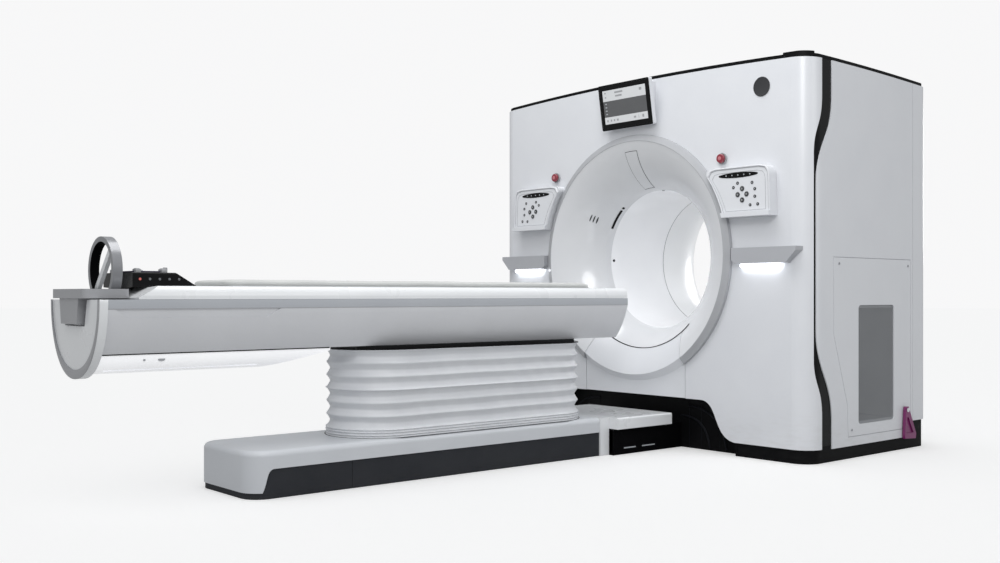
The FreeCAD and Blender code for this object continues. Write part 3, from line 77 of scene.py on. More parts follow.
class Net:
    """A node tree with short ways to add nodes and join them."""

    def __init__(self, tree: bpy.types.NodeTree) -> None:
        """Wraps a tree.

        Args:
            tree: the node tree that is filled.
        """
        self.tree = tree

    def add(self, kind: str, values: dict | None = None, **settings: object) -> bpy.types.Node:
        """Adds a node.

        Args:
            kind: Blender's name of the node type.
            values: socket name or number to a constant, or to the socket that feeds it.
            settings: the node's own options.

        Returns:
            The new node.
        """
        node = self.tree.nodes.new(kind)
        for key, value in settings.items():
            setattr(node, key, value)
        for socket, value in (values or {}).items():
            if isinstance(value, bpy.types.NodeSocket):
                self.tree.links.new(value, node.inputs[socket])
            else:
                node.inputs[socket].default_value = value
        return node

    def math(self, operation: str, first: object, second: object = 0.0) -> bpy.types.NodeSocket:
        """Returns the result of one arithmetic step on two values or sockets."""
        return self.add("ShaderNodeMath", {0: first, 1: second}, operation=operation).outputs[0]

    def span(
        self, value: object, low: float, high: float, to_low: float = 0.0, to_high: float = 1.0,
    ) -> bpy.types.NodeSocket:
        """Maps a value from one range to another, held inside the new range.

        Args:
            value: the socket that is mapped.
            low: value that becomes to_low.
            high: value that becomes to_high.
            to_low: start of the new range.
            to_high: end of the new range.

        Returns:
            The mapped value's socket.
        """
        node = self.add("ShaderNodeMapRange", {0: value, 1: low, 2: high, 3: to_low, 4: to_high})
        return node.outputs[0]

    def blend(self, share: object, first: object, second: object) -> bpy.types.NodeSocket:
        """Returns a colour between two colours, by a share from 0 to 1."""
        node = self.add("ShaderNodeMix", {0: share, 6: first, 7: second}, data_type="RGBA")
        return node.outputs[2]

    def place(self, stretch: Point = (1.0, 1.0, 1.0)) -> bpy.types.NodeSocket:
        """Returns the object's own coordinates in metres, stretched along the three axes."""
        source = self.add("ShaderNodeTexCoord").outputs["Object"]
        if stretch == (1.0, 1.0, 1.0):
            return source
        return self.add("ShaderNodeMapping", {"Vector": source, "Scale": stretch}).outputs[0]

    def noise(self, where: object, scale: object, detail: float = 2.0) -> bpy.types.NodeSocket:
        """Returns a soft noise value at a place."""
        return self.add("ShaderNodeTexNoise", {"Vector": where, "Scale": scale, "Detail": detail}).outputs[0]


class Effects:
    """The shared effects, each a node group that is built once."""

    def __init__(self) -> None:
        """Starts with no group built."""
        self.built: dict[str, bpy.types.NodeTree] = {}

    def group(
        self, name: str, inputs: dict[str, object], outputs: dict[str, str],
    ) -> tuple[bpy.types.NodeTree, Net, dict, bpy.types.Node]:
        """Makes an empty group with named sockets.

        Args:
            name: the group's name.
            inputs: input name to its starting value; a colour has four numbers.
            outputs: output name to its socket type.

        Returns:
            The tree, its net, its input sockets by name and its output node.
        """
        tree = bpy.data.node_groups.new(name, "ShaderNodeTree")
        for socket, value in inputs.items():
            kind = "NodeSocketColor" if isinstance(value, tuple) else "NodeSocketFloat"
            made = tree.interface.new_socket(socket, in_out="INPUT", socket_type=kind)
            made.default_value = value
        for socket, kind in outputs.items():
            tree.interface.new_socket(socket, in_out="OUTPUT", socket_type=kind)
        net = Net(tree)
        source = net.add("NodeGroupInput")
        self.built[name] = tree
        return tree, net, {s.name: s for s in source.outputs if s.name}, net.add("NodeGroupOutput")

    def cloudy_tone(self) -> bpy.types.NodeTree:
        """Builds the colour that drifts slowly between two tones."""
        if "cloudy_tone" in self.built:
            return self.built["cloudy_tone"]
        tree, net, given, out = self.group(
            "cloudy_tone",
            {"Tone": (0.5, 0.5, 0.5, 1.0), "Second": (0.4, 0.4, 0.4, 1.0), "Scale": 6.0, "Amount": 0.5},
            {"Tone": "NodeSocketColor"},
        )
        where = net.place()
        broad = net.span(net.noise(where, given["Scale"], 3.0), 0.35, 0.68)
        fine = net.span(net.noise(where, net.math("MULTIPLY", given["Scale"], 23.0), 1.0), 0.3, 0.7)
        both = net.math("ADD", net.math("MULTIPLY", broad, 0.75), net.math("MULTIPLY", fine, 0.25))
        share = net.math("MULTIPLY", both, given["Amount"])
        tree.links.new(net.blend(share, given["Tone"], given["Second"]), out.inputs[0])
        return tree

    def floor_dust(self) -> bpy.types.NodeTree:
        """Builds the pale dust and shoe marks that gather low on a cover."""
        if "floor_dust" in self.built:
            return self.built["floor_dust"]
        tree, net, given, out = self.group(
            "floor_dust",
            {"Tone": (0.5, 0.5, 0.5, 1.0), "Dust": (0.3, 0.3, 0.3, 1.0), "Reach": 0.2, "Amount": 0.3},
            {"Tone": "NodeSocketColor"},
        )
        where = net.place()
        high = net.add("ShaderNodeSeparateXYZ", {0: where}).outputs[2]
        low = net.math("SUBTRACT", 1.0, net.span(net.math("DIVIDE", high, given["Reach"]), 0.0, 1.0))
        marks = net.span(net.noise(net.place((1.0, 1.0, 4.0)), 14.0, 4.0), 0.45, 0.75)
        share = net.math("MULTIPLY", net.math("MULTIPLY", low, marks), given["Amount"])
        tree.links.new(net.blend(share, given["Tone"], given["Dust"]), out.inputs[0])
        return tree

    def grain(self) -> bpy.types.NodeTree:
        """Builds the fine surface grain and the slow drift of the gloss."""
        if "grain" in self.built:
            return self.built["grain"]
        tree, net, given, out = self.group(
            "grain",
            {"Grain": 400.0, "Rough": 0.4, "Drift": 0.1},
            {"Height": "NodeSocketFloat", "Rough": "NodeSocketFloat"},
        )
        where = net.place()
        height = net.noise(where, given["Grain"], 2.0)
        smear = net.math("SUBTRACT", net.noise(where, 7.0, 4.0), 0.5)
        tree.links.new(height, out.inputs[0])
        tree.links.new(net.math("ADD", given["Rough"], net.math("MULTIPLY", smear, given["Drift"])), out.inputs[1])
        return tree

    def brushing(self) -> bpy.types.NodeTree:
        """Builds the drawn lines of worked metal, along the machine."""
        if "brushing" in self.built:
            return self.built["brushing"]
        tree, net, given, out = self.group(
            "brushing",
            {"Grain": 400.0, "Rough": 0.4, "Drift": 0.1},
            {"Height": "NodeSocketFloat", "Rough": "NodeSocketFloat"},
        )
        height = net.noise(net.place((1.0, 0.02, 1.0)), given["Grain"], 2.0)
        shift = net.math("SUBTRACT", height, 0.5)
        tree.links.new(height, out.inputs[0])
        tree.links.new(net.math("ADD", given["Rough"], net.math("MULTIPLY", shift, given["Drift"])), out.inputs[1])
        return tree

    def weave(self) -> bpy.types.NodeTree:
        """Builds a plain weave under a thin coating."""
        if "weave" in self.built:
            return self.built["weave"]
        tree, net, given, out = self.group(
            "weave",
            {"Grain": 700.0, "Rough": 0.4, "Drift": 0.1},
            {"Height": "NodeSocketFloat", "Rough": "NodeSocketFloat"},
        )
        x, y, z = net.add("ShaderNodeSeparateXYZ", {0: net.place()}).outputs
        turn = net.math("MULTIPLY", given["Grain"], math.pi)
        warp = net.math("SINE", net.math("MULTIPLY", net.math("ADD", x, z), turn))
        weft = net.math("SINE", net.math("MULTIPLY", net.math("SUBTRACT", y, net.math("MULTIPLY", z, 0.5)), turn))
        cross = net.math("MULTIPLY", warp, weft)
        slub = net.math("SUBTRACT", net.noise(net.place(), 60.0, 3.0), 0.5)
        tree.links.new(net.math("ADD", net.math("MULTIPLY", cross, 0.5), slub), out.inputs[0])
        tree.links.new(net.math("ADD", given["Rough"], net.math("MULTIPLY", slub, given["Drift"])), out.inputs[1])
        return tree


EFFECTS = Effects()


@dataclass(frozen=True)
class Finish:
    """One finish: two near tones, gloss, fine pattern and coat."""

    name: str
    tone: Tone
    second: Tone
    rough: float
    drift: float = 0.12
    pattern: Pattern = Pattern.MOULDED
    grain: float = 500.0
    depth: float = 0.00003
    metal: float = 0.0
    coat: float = 0.0
    coat_rough: float = 0.08
    sheen: float = 0.0
    cloud: float = 5.0
    amount: float = 0.6
    dust: Tone | None = None
    dust_reach: float = 0.2
    glow: float = 0.0
    specular: float = 0.5

    def material(self) -> bpy.types.Material:
        """Returns the finish as a material, built at its first use."""
        label = f"look_{self.name}"
        made = bpy.data.materials.get(label)
        if made is not None:
            return made
        made = bpy.data.materials.new(label)
        made.use_nodes = True
        made.node_tree.nodes.clear()
        net = Net(made.node_tree)
        shader = net.add("ShaderNodeBsdfPrincipled", {
            "Metallic": self.metal, "Coat Weight": self.coat, "Coat Roughness": self.coat_rough,
            "Sheen Weight": self.sheen, "Specular IOR Level": self.specular,
        })
        surface = net.add("ShaderNodeGroup", node_tree=self.surface_group())
        surface.inputs["Grain"].default_value = self.grain
        surface.inputs["Rough"].default_value = self.rough
        surface.inputs["Drift"].default_value = self.drift
        bump = net.add("ShaderNodeBump", {
            "Strength": 0.7, "Distance": self.depth, "Height": surface.outputs["Height"],
        })
        tone = self.tone_socket(net)
        net.tree.links.new(tone, shader.inputs["Base Color"])
        net.tree.links.new(surface.outputs["Rough"], shader.inputs["Roughness"])
        net.tree.links.new(bump.outputs[0], shader.inputs["Normal"])
        if self.glow:
            net.tree.links.new(tone, shader.inputs["Emission Color"])
            shader.inputs["Emission Strength"].default_value = self.glow
        end = net.add("ShaderNodeOutputMaterial")
        net.tree.links.new(shader.outputs[0], end.inputs[0])
        return made

    def surface_group(self) -> bpy.types.NodeTree:
        """Returns the shared effect that gives this finish its fine surface."""
        if self.pattern is Pattern.BRUSHED:
            return EFFECTS.brushing()
        if self.pattern is Pattern.WOVEN:
            return EFFECTS.weave()
        return EFFECTS.grain()

    def tone_socket(self, net: Net) -> bpy.types.NodeSocket:
        """Adds the nodes of the finish's colour.

        Args:
            net: the material's nodes.

        Returns:
            The socket that gives the colour.
        """
        cloud = net.add("ShaderNodeGroup", node_tree=EFFECTS.cloudy_tone())
        cloud.inputs["Tone"].default_value = (*self.tone, 1.0)
        cloud.inputs["Second"].default_value = (*self.second, 1.0)
        cloud.inputs["Scale"].default_value = self.cloud
        cloud.inputs["Amount"].default_value = self.amount
        if self.dust is None:
            return cloud.outputs[0]
        dust = net.add("ShaderNodeGroup", node_tree=EFFECTS.floor_dust())
        net.tree.links.new(cloud.outputs[0], dust.inputs["Tone"])
        dust.inputs["Dust"].default_value = (*self.dust, 1.0)
        dust.inputs["Reach"].default_value = self.dust_reach
        return dust.outputs[0]


LACQUER = Finish("cover_lacquer", (0.70, 0.715, 0.745), (0.66, 0.675, 0.71), 0.34, 0.1, Pattern.LACQUER,
                 650.0, 0.00002, coat=0.35, coat_rough=0.16, dust=(0.5, 0.49, 0.47), dust_reach=0.3)
DISH_WHITE = Finish("dish_gloss_white", (0.70, 0.71, 0.73), (0.66, 0.675, 0.70), 0.22, 0.06, Pattern.LACQUER,
                    420.0, 0.000015, coat=0.6, coat_rough=0.05)
# The bore finishes glow though they are not lamps: painted light that brightens the inside of the bore.
BORE_WHITE_PAINTED_GLOW = Finish("bore_liner_white", (0.88, 0.89, 0.90), (0.84, 0.855, 0.875), 0.3, 0.06, Pattern.LACQUER,
                    420.0, 0.000015, coat=0.3, glow=0.03)
BORE_GREY_PAINTED_GLOW = Finish("bore_liner_grey_painted_glow", (0.84, 0.85, 0.87), (0.80, 0.81, 0.835), 0.26, 0.06, Pattern.LACQUER,
                   420.0, 0.000015, coat=0.5, coat_rough=0.12, glow=0.09)
SHELF_GREY = Finish("shelf_grey", (0.42, 0.43, 0.455), (0.39, 0.40, 0.425), 0.38, 0.08, Pattern.LACQUER, 650.0,
                    0.00002, coat=0.2)
# The pan's glow is painted light: it stands in for the bounce light on the pan's downward-facing side.
PAN_WHITE_PAINTED_GLOW = Finish("pan_white_painted_glow", (0.90, 0.905, 0.92), (0.86, 0.865, 0.885), 0.34, 0.06, Pattern.LACQUER, 500.0,
                   0.00002, coat=0.3, glow=0.34)
TRIM_GREY = Finish("ring_trim_grey", (0.42, 0.43, 0.45), (0.38, 0.39, 0.41), 0.36, 0.1, Pattern.LACQUER,
                   700.0, 0.00002, metal=0.15, coat=0.25)
PANEL_WHITE = Finish("panel_white", (0.70, 0.715, 0.745), (0.67, 0.685, 0.715), 0.36, 0.1, Pattern.LACQUER,
                     650.0, 0.00002, coat=0.3, coat_rough=0.18, dust=(0.5, 0.49, 0.47), dust_reach=0.25)
GLOSS_BLACK = Finish("gloss_black", (0.0025, 0.0026, 0.003), (0.004, 0.0043, 0.005), 0.2, 0.06, Pattern.LACQUER,
                     300.0, 0.00001, coat=0.12, coat_rough=0.06, specular=0.12)
SATIN_BLACK = Finish("satin_black", (0.003, 0.0031, 0.0036), (0.005, 0.0052, 0.006), 0.5, 0.12, grain=900.0,
                     depth=0.00006, dust=(0.016, 0.0155, 0.015), dust_reach=0.10, specular=0.1)
MATT_BLACK = Finish("matt_black", (0.002, 0.002, 0.0025), (0.004, 0.004, 0.0045), 0.7, 0.1, grain=900.0,
                    depth=0.00005, specular=0.03)
RIDGE_DARK = Finish("ridge_dark", (0.007, 0.008, 0.011), (0.010, 0.011, 0.014), 0.45, 0.1, grain=900.0,
                    depth=0.00004, specular=0.12)
SKIRT_DARK = Finish("skirt_dark", (0.028, 0.030, 0.035), (0.038, 0.040, 0.045), 0.5, 0.12, grain=800.0,
                    depth=0.00008, dust=(0.05, 0.049, 0.047), dust_reach=0.07, specular=0.1)
BASE_GREY = Finish("base_grey", (0.58, 0.60, 0.63), (0.54, 0.56, 0.59), 0.42, 0.1, Pattern.LACQUER,
                   700.0, 0.00003, coat=0.15, coat_rough=0.2)
BEAM_GREY = Finish("beam_grey", (0.66, 0.67, 0.695), (0.62, 0.63, 0.655), 0.38, 0.1, Pattern.LACQUER,
                   700.0, 0.00002, coat=0.25, coat_rough=0.15)
BEAM_BAND = Finish("beam_band_grey", (0.44, 0.46, 0.49), (0.41, 0.43, 0.465), 0.36, 0.08, Pattern.BRUSHED,
                   900.0, 0.00001, coat=0.2)
TABLE_WHITE = Finish("table_white", (0.76, 0.775, 0.79), (0.72, 0.735, 0.755), 0.28, 0.08, Pattern.LACQUER,
                     500.0, 0.00002, coat=0.4, coat_rough=0.08)
PAD_CLOTH = Finish("pad_cloth", (0.50, 0.51, 0.50), (0.45, 0.46, 0.455), 0.62, 0.15, Pattern.WOVEN,
                   450.0, 0.00022, sheen=0.25, cloud=9.0, amount=0.8)
# The piping's darker tone is painted shade: it stands for the pad's shadow line along the cradle.
PAD_PIPING_SHADE = Finish("pad_piping_shade", (0.36, 0.37, 0.375), (0.31, 0.32, 0.33), 0.6, 0.1, Pattern.WOVEN, 900.0, 0.0001)
BELLOWS_CLOTH = Finish("bellows_cloth", (0.66, 0.675, 0.70), (0.60, 0.615, 0.645), 0.5, 0.16, Pattern.WOVEN,
                       520.0, 0.00016, sheen=0.2, cloud=7.0, amount=0.8)
STEEL = Finish("machined_steel", (0.50, 0.51, 0.53), (0.42, 0.43, 0.45), 0.32, 0.2, Pattern.BRUSHED, 700.0,
               0.00003, metal=0.9)
PAINTED_STEEL = Finish("painted_steel", (0.30, 0.31, 0.33), (0.26, 0.27, 0.29), 0.5, 0.15, grain=500.0,
                       depth=0.00008)
CAST_GREY = Finish("cast_grey", (0.36, 0.37, 0.38), (0.30, 0.31, 0.32), 0.55, 0.2, grain=260.0, depth=0.0002,
                   metal=0.5)
RUBBER = Finish("belt_rubber", (0.02, 0.02, 0.022), (0.035, 0.035, 0.037), 0.7, 0.1, grain=1200.0, depth=0.0001)
SCREW_STEEL = Finish("screw_steel", (0.55, 0.56, 0.58), (0.46, 0.47, 0.49), 0.28, 0.15, Pattern.BRUSHED, 1500.0,
                     0.00002, metal=1.0)
GRILLE_GREY = Finish("grille_grey", (0.30, 0.31, 0.325), (0.26, 0.27, 0.285), 0.45, 0.1, grain=900.0,
                     depth=0.00004, metal=0.2)
LATCH_PURPLE = Finish("latch_purple", (0.20, 0.018, 0.125), (0.15, 0.012, 0.095), 0.32, 0.1, grain=600.0,
                      depth=0.00004, coat=0.4)
STOP_RED = Finish("stop_red", (0.24, 0.016, 0.034), (0.19, 0.011, 0.024), 0.28, 0.08, grain=500.0, depth=0.00002,
                  coat=0.5)
KEY_BLACK = Finish("key_black", (0.025, 0.027, 0.03), (0.04, 0.042, 0.046), 0.42, 0.1, grain=900.0, depth=0.00004)
STOP_PALE = Finish("stop_pale", (0.52, 0.19, 0.21), (0.46, 0.15, 0.17), 0.3, 0.06, grain=500.0, depth=0.00002)
MARK_DARK = Finish("mark_dark", (0.03, 0.032, 0.036), (0.045, 0.047, 0.052), 0.35, 0.1, grain=900.0, depth=0.00002)
BADGE_DARK = Finish("badge_dark", (0.03, 0.031, 0.034), (0.045, 0.046, 0.05), 0.3, 0.08, grain=900.0,
                    depth=0.00002, metal=0.2, coat=0.2)
SCREEN_LIGHT = Finish("screen_light", (0.47, 0.48, 0.49), (0.44, 0.45, 0.46), 0.25, 0.05, Pattern.SHEETED,
                      600.0, 0.000005, coat=0.2, glow=0.45)
SCREEN_GREY = Finish("screen_grey", (0.085, 0.087, 0.09), (0.07, 0.072, 0.076), 0.25, 0.05, Pattern.SHEETED,
                     600.0, 0.000005, coat=0.1, glow=0.35, specular=0.2)
LAMP_WHITE = Finish("lamp_white", (0.95, 0.97, 1.0), (0.9, 0.93, 0.98), 0.4, 0.05, Pattern.SHEETED, 600.0,
                    0.000005, glow=7.0)
LAMP_RED = Finish("lamp_red", (0.42, 0.09, 0.08), (0.34, 0.07, 0.06), 0.3, 0.05, Pattern.SHEETED, 600.0,
                  0.000005, glow=0.5)
LAMP_DIM = Finish("lamp_dim", (0.11, 0.115, 0.125), (0.09, 0.094, 0.10), 0.35, 0.05, Pattern.SHEETED, 600.0,
                  0.000005, glow=0.1)
LAMP_GREY = Finish("lamp_grey", (0.34, 0.36, 0.38), (0.28, 0.30, 0.32), 0.3, 0.05, Pattern.SHEETED, 600.0,
                   0.000005, glow=0.2)
VIOLET_PAD = Finish("violet_pad", (0.03, 0.024, 0.05), (0.045, 0.036, 0.07), 0.6, 0.1, Pattern.WOVEN, 800.0,
                    0.00008, specular=0.25)
HOOP_GREY = Finish("hoop_grey", (0.25, 0.255, 0.27), (0.21, 0.215, 0.23), 0.34, 0.12, Pattern.BRUSHED, 600.0,
                   0.00002, metal=0.35, coat=0.3)
BRACKET_GREY = Finish("bracket_grey", (0.34, 0.345, 0.36), (0.30, 0.305, 0.32), 0.4, 0.1, grain=700.0,
                      depth=0.00004, coat=0.2)


# ---- bench tools ---------------------------------------------------------------------------------
def pick(piece: bpy.types.Object) -> None:
    """Leaves only this piece selected and active."""
    for other in bpy.context.selected_objects:
        other.select_set(False)
    piece.select_set(True)
    bpy.context.view_layer.objects.active = piece


def clear_picks() -> None:
    """Deselects everything before a primitive is added."""
    for other in bpy.context.selected_objects:
        other.select_set(False)


def seat(piece: bpy.types.Object) -> None:
    """Puts the piece's place, turn and size into its mesh."""
    pick(piece)
    bpy.ops.object.transform_apply(location=True, rotation=True, scale=True)


def named(name: str) -> bpy.types.Object:
    """Names the primitive that was just added and returns it."""
    piece = bpy.context.object
    piece.name = name
    piece.data.name = name
    return piece


def block(name: str, low: Point, high: Point) -> bpy.types.Object:
    """Adds a block between two corners.

    Args:
        name: the piece's name.
        low: its lowest corner.
        high: its highest corner.

    Returns:
        The block, with its place in its mesh.
    """
    clear_picks()
    centre = [(a + b) / 2 for a, b in zip(low, high)]
    bpy.ops.mesh.primitive_cube_add(size=1.0, location=centre)
    piece = named(name)
    piece.scale = [b - a for a, b in zip(low, high)]
    seat(piece)
    return piece


def drum(
    name: str, centre: Point, radius: float, length: float, turn: Point = (0.0, 0.0, 0.0), sides: int = 48,
) -> bpy.types.Object:
    """Adds an upright drum, turned as asked.

    Args:
        name: the piece's name.
        centre: the middle of the drum.
        radius: its radius.
        length: its length along its axis.
        turn: its turn about X, Y and Z, in radians.
        sides: how many faces go round it.

    Returns:
        The drum, with its place in its mesh.
    """
    clear_picks()
    bpy.ops.mesh.primitive_cylinder_add(
        vertices=sides, radius=radius, depth=length, location=centre, rotation=turn)
    piece = named(name)
    seat(piece)
    return piece


def apply_modifiers(piece: bpy.types.Object) -> None:
    """Applies every modifier of the piece, first to last."""
    pick(piece)
    for modifier in list(piece.modifiers):
        bpy.ops.object.modifier_apply(modifier=modifier.name)


def round_edges(piece: bpy.types.Object, width: float, segments: int = 3, angle: float = 30.0) -> None:
    """Rounds the edges that are sharper than an angle.

    Args:
        piece: the piece that is rounded.
        width: how far the rounding reaches from the edge.
        segments: faces across it.
        angle: the least edge angle that is rounded, in degrees.
    """
    rounding = piece.modifiers.new("rounding", "BEVEL")
    rounding.width = width
    rounding.segments = segments
    rounding.limit_method = "ANGLE"
    rounding.angle_limit = math.radians(angle)
    apply_modifiers(piece)


def smooth(piece: bpy.types.Object, angle: float = 35.0) -> None:
    """Shades the piece smooth, apart from edges sharper than an angle."""
    pick(piece)
    bpy.ops.object.shade_smooth_by_angle(angle=math.radians(angle))


def select_faces(piece: bpy.types.Object, wanted: Callable[[bpy.types.MeshPolygon], bool]) -> None:
    """Enters edit mode with only the wanted faces selected.

    Args:
        piece: the piece that is edited.
        wanted: says whether a face is selected.
    """
    pick(piece)
    bpy.ops.object.mode_set(mode="EDIT")
    bpy.ops.mesh.select_mode(type="FACE")
    bpy.ops.mesh.select_all(action="DESELECT")
    bpy.ops.object.mode_set(mode="OBJECT")
    for face in piece.data.polygons:
        face.select = wanted(face)
    bpy.ops.object.mode_set(mode="EDIT")


def leave_edit() -> None:
    """Goes back to object mode."""
    bpy.ops.object.mode_set(mode="OBJECT")


def sink_faces(
    piece: bpy.types.Object, wanted: Callable[[bpy.types.MeshPolygon], bool], rim: float, step: Point,
) -> None:
    """Insets the wanted faces and moves the inner faces, as a recess or a step.

    Args:
        piece: the piece that is edited.
        wanted: says whether a face takes part.
        rim: width of the rim that is left.
        step: how far the inner faces move.
    """
    select_faces(piece, wanted)
    bpy.ops.mesh.inset(thickness=rim, depth=0.0)
    bpy.ops.mesh.extrude_region_move(TRANSFORM_OT_translate={"value": step})
    leave_edit()


def tidy_normals(piece: bpy.types.Object) -> None:
    """Merges doubled points and turns every face outwards."""
    pick(piece)
    bpy.ops.object.mode_set(mode="EDIT")
    bpy.ops.mesh.select_all(action="SELECT")
    bpy.ops.mesh.remove_doubles(threshold=1e-6)
    bpy.ops.mesh.normals_make_consistent(inside=False)
    bpy.ops.object.mode_set(mode="OBJECT")


def sheet_over(
    name: str, across: int, along: int, place: Callable[[float, float], Point], thick: float,
) -> bpy.types.Object:
    """Lays a grid over a surface and gives it a wall, centred on that surface.

    Args:
        name: the piece's name.
        across: faces along the first share.
        along: faces along the second share.
        place: a point for two shares from 0 to 1.
        thick: wall thickness.

    Returns:
        The thin closed piece.
    """
    clear_picks()
    bpy.ops.mesh.primitive_grid_add(x_subdivisions=across, y_subdivisions=along, size=1.0)
    piece = named(name)
    for point in piece.data.vertices:
        point.co = place(point.co.x + 0.5, point.co.y + 0.5)
    if thick:
        wall = piece.modifiers.new("wall", "SOLIDIFY")
        wall.thickness = thick
        wall.offset = 0.0
        apply_modifiers(piece)
    tidy_normals(piece)
    return piece


def slab_of(name: str, outline: list[Point], step: Point) -> bpy.types.Object:
    """Extrudes a flat outline into a slab.

    Args:
        name: the piece's name.
        outline: the corners in order, all in one plane.
        step: how far and which way it is extruded.

    Returns:
        The closed slab.
    """
    clear_picks()
    bpy.ops.mesh.primitive_circle_add(vertices=len(outline), radius=1.0, fill_type="NGON")
    piece = named(name)
    for point, corner in zip(piece.data.vertices, outline):
        point.co = corner
    pick(piece)
    bpy.ops.object.mode_set(mode="EDIT")
    bpy.ops.mesh.select_all(action="SELECT")
    bpy.ops.mesh.extrude_region_move(TRANSFORM_OT_translate={"value": step})
    bpy.ops.object.mode_set(mode="OBJECT")
    tidy_normals(piece)
    return piece


def joined(name: str, parts: list[bpy.types.Object]) -> bpy.types.Object:
    """Joins parts of one finish into one piece."""
    clear_picks()
    for part in parts:
        part.select_set(True)
    bpy.context.view_layer.objects.active = parts[0]
    bpy.ops.object.join()
    parts[0].name = name
    parts[0].data.name = name
    return parts[0]


def copy_of(node: str, name: str) -> bpy.types.Object:
    """Copies a CAD piece's mesh as one closed skin.

    Args:
        node: the CAD piece.
        name: the copy's name.

    Returns:
        The merged copy.
    """
    piece = bpy.data.objects.new(name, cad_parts[node].data.copy())
    bpy.context.scene.collection.objects.link(piece)
    pick(piece)
    if piece.data.has_custom_normals:
        bpy.ops.mesh.customdata_custom_splitnormals_clear()
    bpy.ops.object.mode_set(mode="EDIT")
    bpy.ops.mesh.select_all(action="SELECT")
    bpy.ops.mesh.remove_doubles(threshold=1e-5)
    bpy.ops.object.mode_set(mode="OBJECT")
    return piece


def settle(
    piece: bpy.types.Object, body: str, slot: str, finish: Finish, *nodes: str, angle: float = 35.0,
) -> bpy.types.Object:
    """Finishes a piece: shades it, dresses it, and seats it on its body.

    Args:
        piece: the finished mesh.
        body: the moving body that it rides on.
        slot: the record's material slot; not used.
        finish: its finish.
        nodes: the CAD pieces that it stands for.
        angle: edges sharper than this stay crisp, in degrees.

    Returns:
        The same piece.
    """
    smooth(piece, angle)
    if not piece.data.materials:
        piece.data.materials.append(finish.material())
    elif len(piece.data.materials) == 1:
        piece.data.materials[0] = finish.material()
    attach(piece, body)
    if nodes:
        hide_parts(*nodes)
    LOG.info("%s on %s, %s faces", piece.name, body, len(piece.data.polygons))
    return piece


def two_finishes(
    piece: bpy.types.Object, first: Finish, second: Finish, takes_second: Callable[[bpy.types.MeshPolygon], bool],
) -> None:
    """Dresses a piece in two finishes, face by face.

    Args:
        piece: the piece that is dressed.
        first: the finish of most faces.
        second: the finish of the faces picked out.
        takes_second: says whether a face takes the second finish.
    """
    piece.data.materials.clear()
    piece.data.materials.append(first.material())
    piece.data.materials.append(second.material())
    for face in piece.data.polygons:
        face.material_index = int(takes_second(face))


def face_y(x: float) -> float:
    """Returns the Y of the bowed front cover at x."""
    return RING_Y + 0.03 + 0.012 * (x / 1.16) ** 2


def dish_point(degrees: float, radius: float, lift: float = 0.0) -> Point:
    """Returns a point of the dish.

    Args:
        degrees: angle about the bore axis, 0 at the right and 90 at the top.
        radius: distance from the bore axis.
        lift: how far it stands off the dish.

    Returns:
        The point.
    """
    if radius >= 0.412:
        centre_r, centre_y, bend = 0.845, 0.467, 0.5
    else:
        centre_r, centre_y, bend = 0.49, 0.262, 0.09
    depth = centre_y - math.sqrt(max(0.0, bend ** 2 - (centre_r - radius) ** 2))
    out_r, out_y = (radius - centre_r) / bend, (depth - centre_y) / bend
    turn = math.radians(degrees)
    radius, depth = radius + lift * out_r, depth + lift * out_y
    return radius * math.cos(turn), RING_Y + depth, ISO_Z + radius * math.sin(turn)


# ---- what the CAD pieces wear --------------------------------------------------------------------
@dataclass
class Dresser:
    """Gives every CAD piece that stays in view its finish, and the hidden works theirs."""

    worn: dict[str, Finish] = field(default_factory=lambda: {
        "front_cover": LACQUER, "side_covers": LACQUER, "rear_cover": PANEL_WHITE,
        "lower_front_panel": PANEL_WHITE, "service_panels": PANEL_WHITE, "dish_cover": DISH_WHITE,
        "dish_ring_trim": TRIM_GREY, "bore_liner": BORE_GREY_PAINTED_GLOW, "rear_funnel": BORE_WHITE_PAINTED_GLOW,
        "corner_strips": GLOSS_BLACK, "top_cap": SATIN_BLACK, "plinth": SATIN_BLACK, "foot_console": GLOSS_BLACK,
        "vent_grilles": GRILLE_GREY, "panel_screws": SCREW_STEEL, "display_housing": GLOSS_BLACK,
        "display_screen": GLOSS_BLACK, "control_pods": PANEL_WHITE, "side_shelves": SHELF_GREY,
        "e_stop_collars": BRACKET_GREY, "e_stop_right": STOP_RED, "e_stop_left": STOP_RED,
        "latch_right": LATCH_PURPLE, "latch_left": LATCH_PURPLE, "table_base_cover": BASE_GREY,
        "table_side_panels": SKIRT_DARK, "table_base_frame": PAINTED_STEEL, "bridge_box": MATT_BLACK,
        # The floor bridge wears the whiter table finish rather than the base grey: painted light, a lighter tone
        # that offsets the gantry's shadow on it.
        "floor_bridge": TABLE_WHITE, "table_carriage": GLOSS_BLACK, "beam_pan": PAN_WHITE_PAINTED_GLOW,
        "cradle": TABLE_WHITE, "cradle_rails": STEEL, "cradle_bracket": BRACKET_GREY,
        "lift_column": PAINTED_STEEL, "lift_stage": STEEL, "lift_mast": STEEL,
        "base_frame": PAINTED_STEEL, "stator_frame": PAINTED_STEEL, "slewing_race": STEEL,
        "rotor_drum": CAST_GREY, "xray_tube": STEEL, "detector_arc": PAINTED_STEEL,
        "hv_generator": PAINTED_STEEL, "drive_belt": RUBBER, "drive_motor": CAST_GREY,
        "motor_pulley": STEEL,
    })

    def dress(self) -> None:
        """Puts each finish on its CAD piece, and black on the keys."""
        for name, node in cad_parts.items():
            finish = KEY_BLACK if name.startswith("key_") else self.worn.get(name)
            if finish is None:
                continue
            for number in range(len(node.data.materials)):
                node.data.materials[number] = finish.material()
            LOG.info("%s wears %s", name, finish.name)


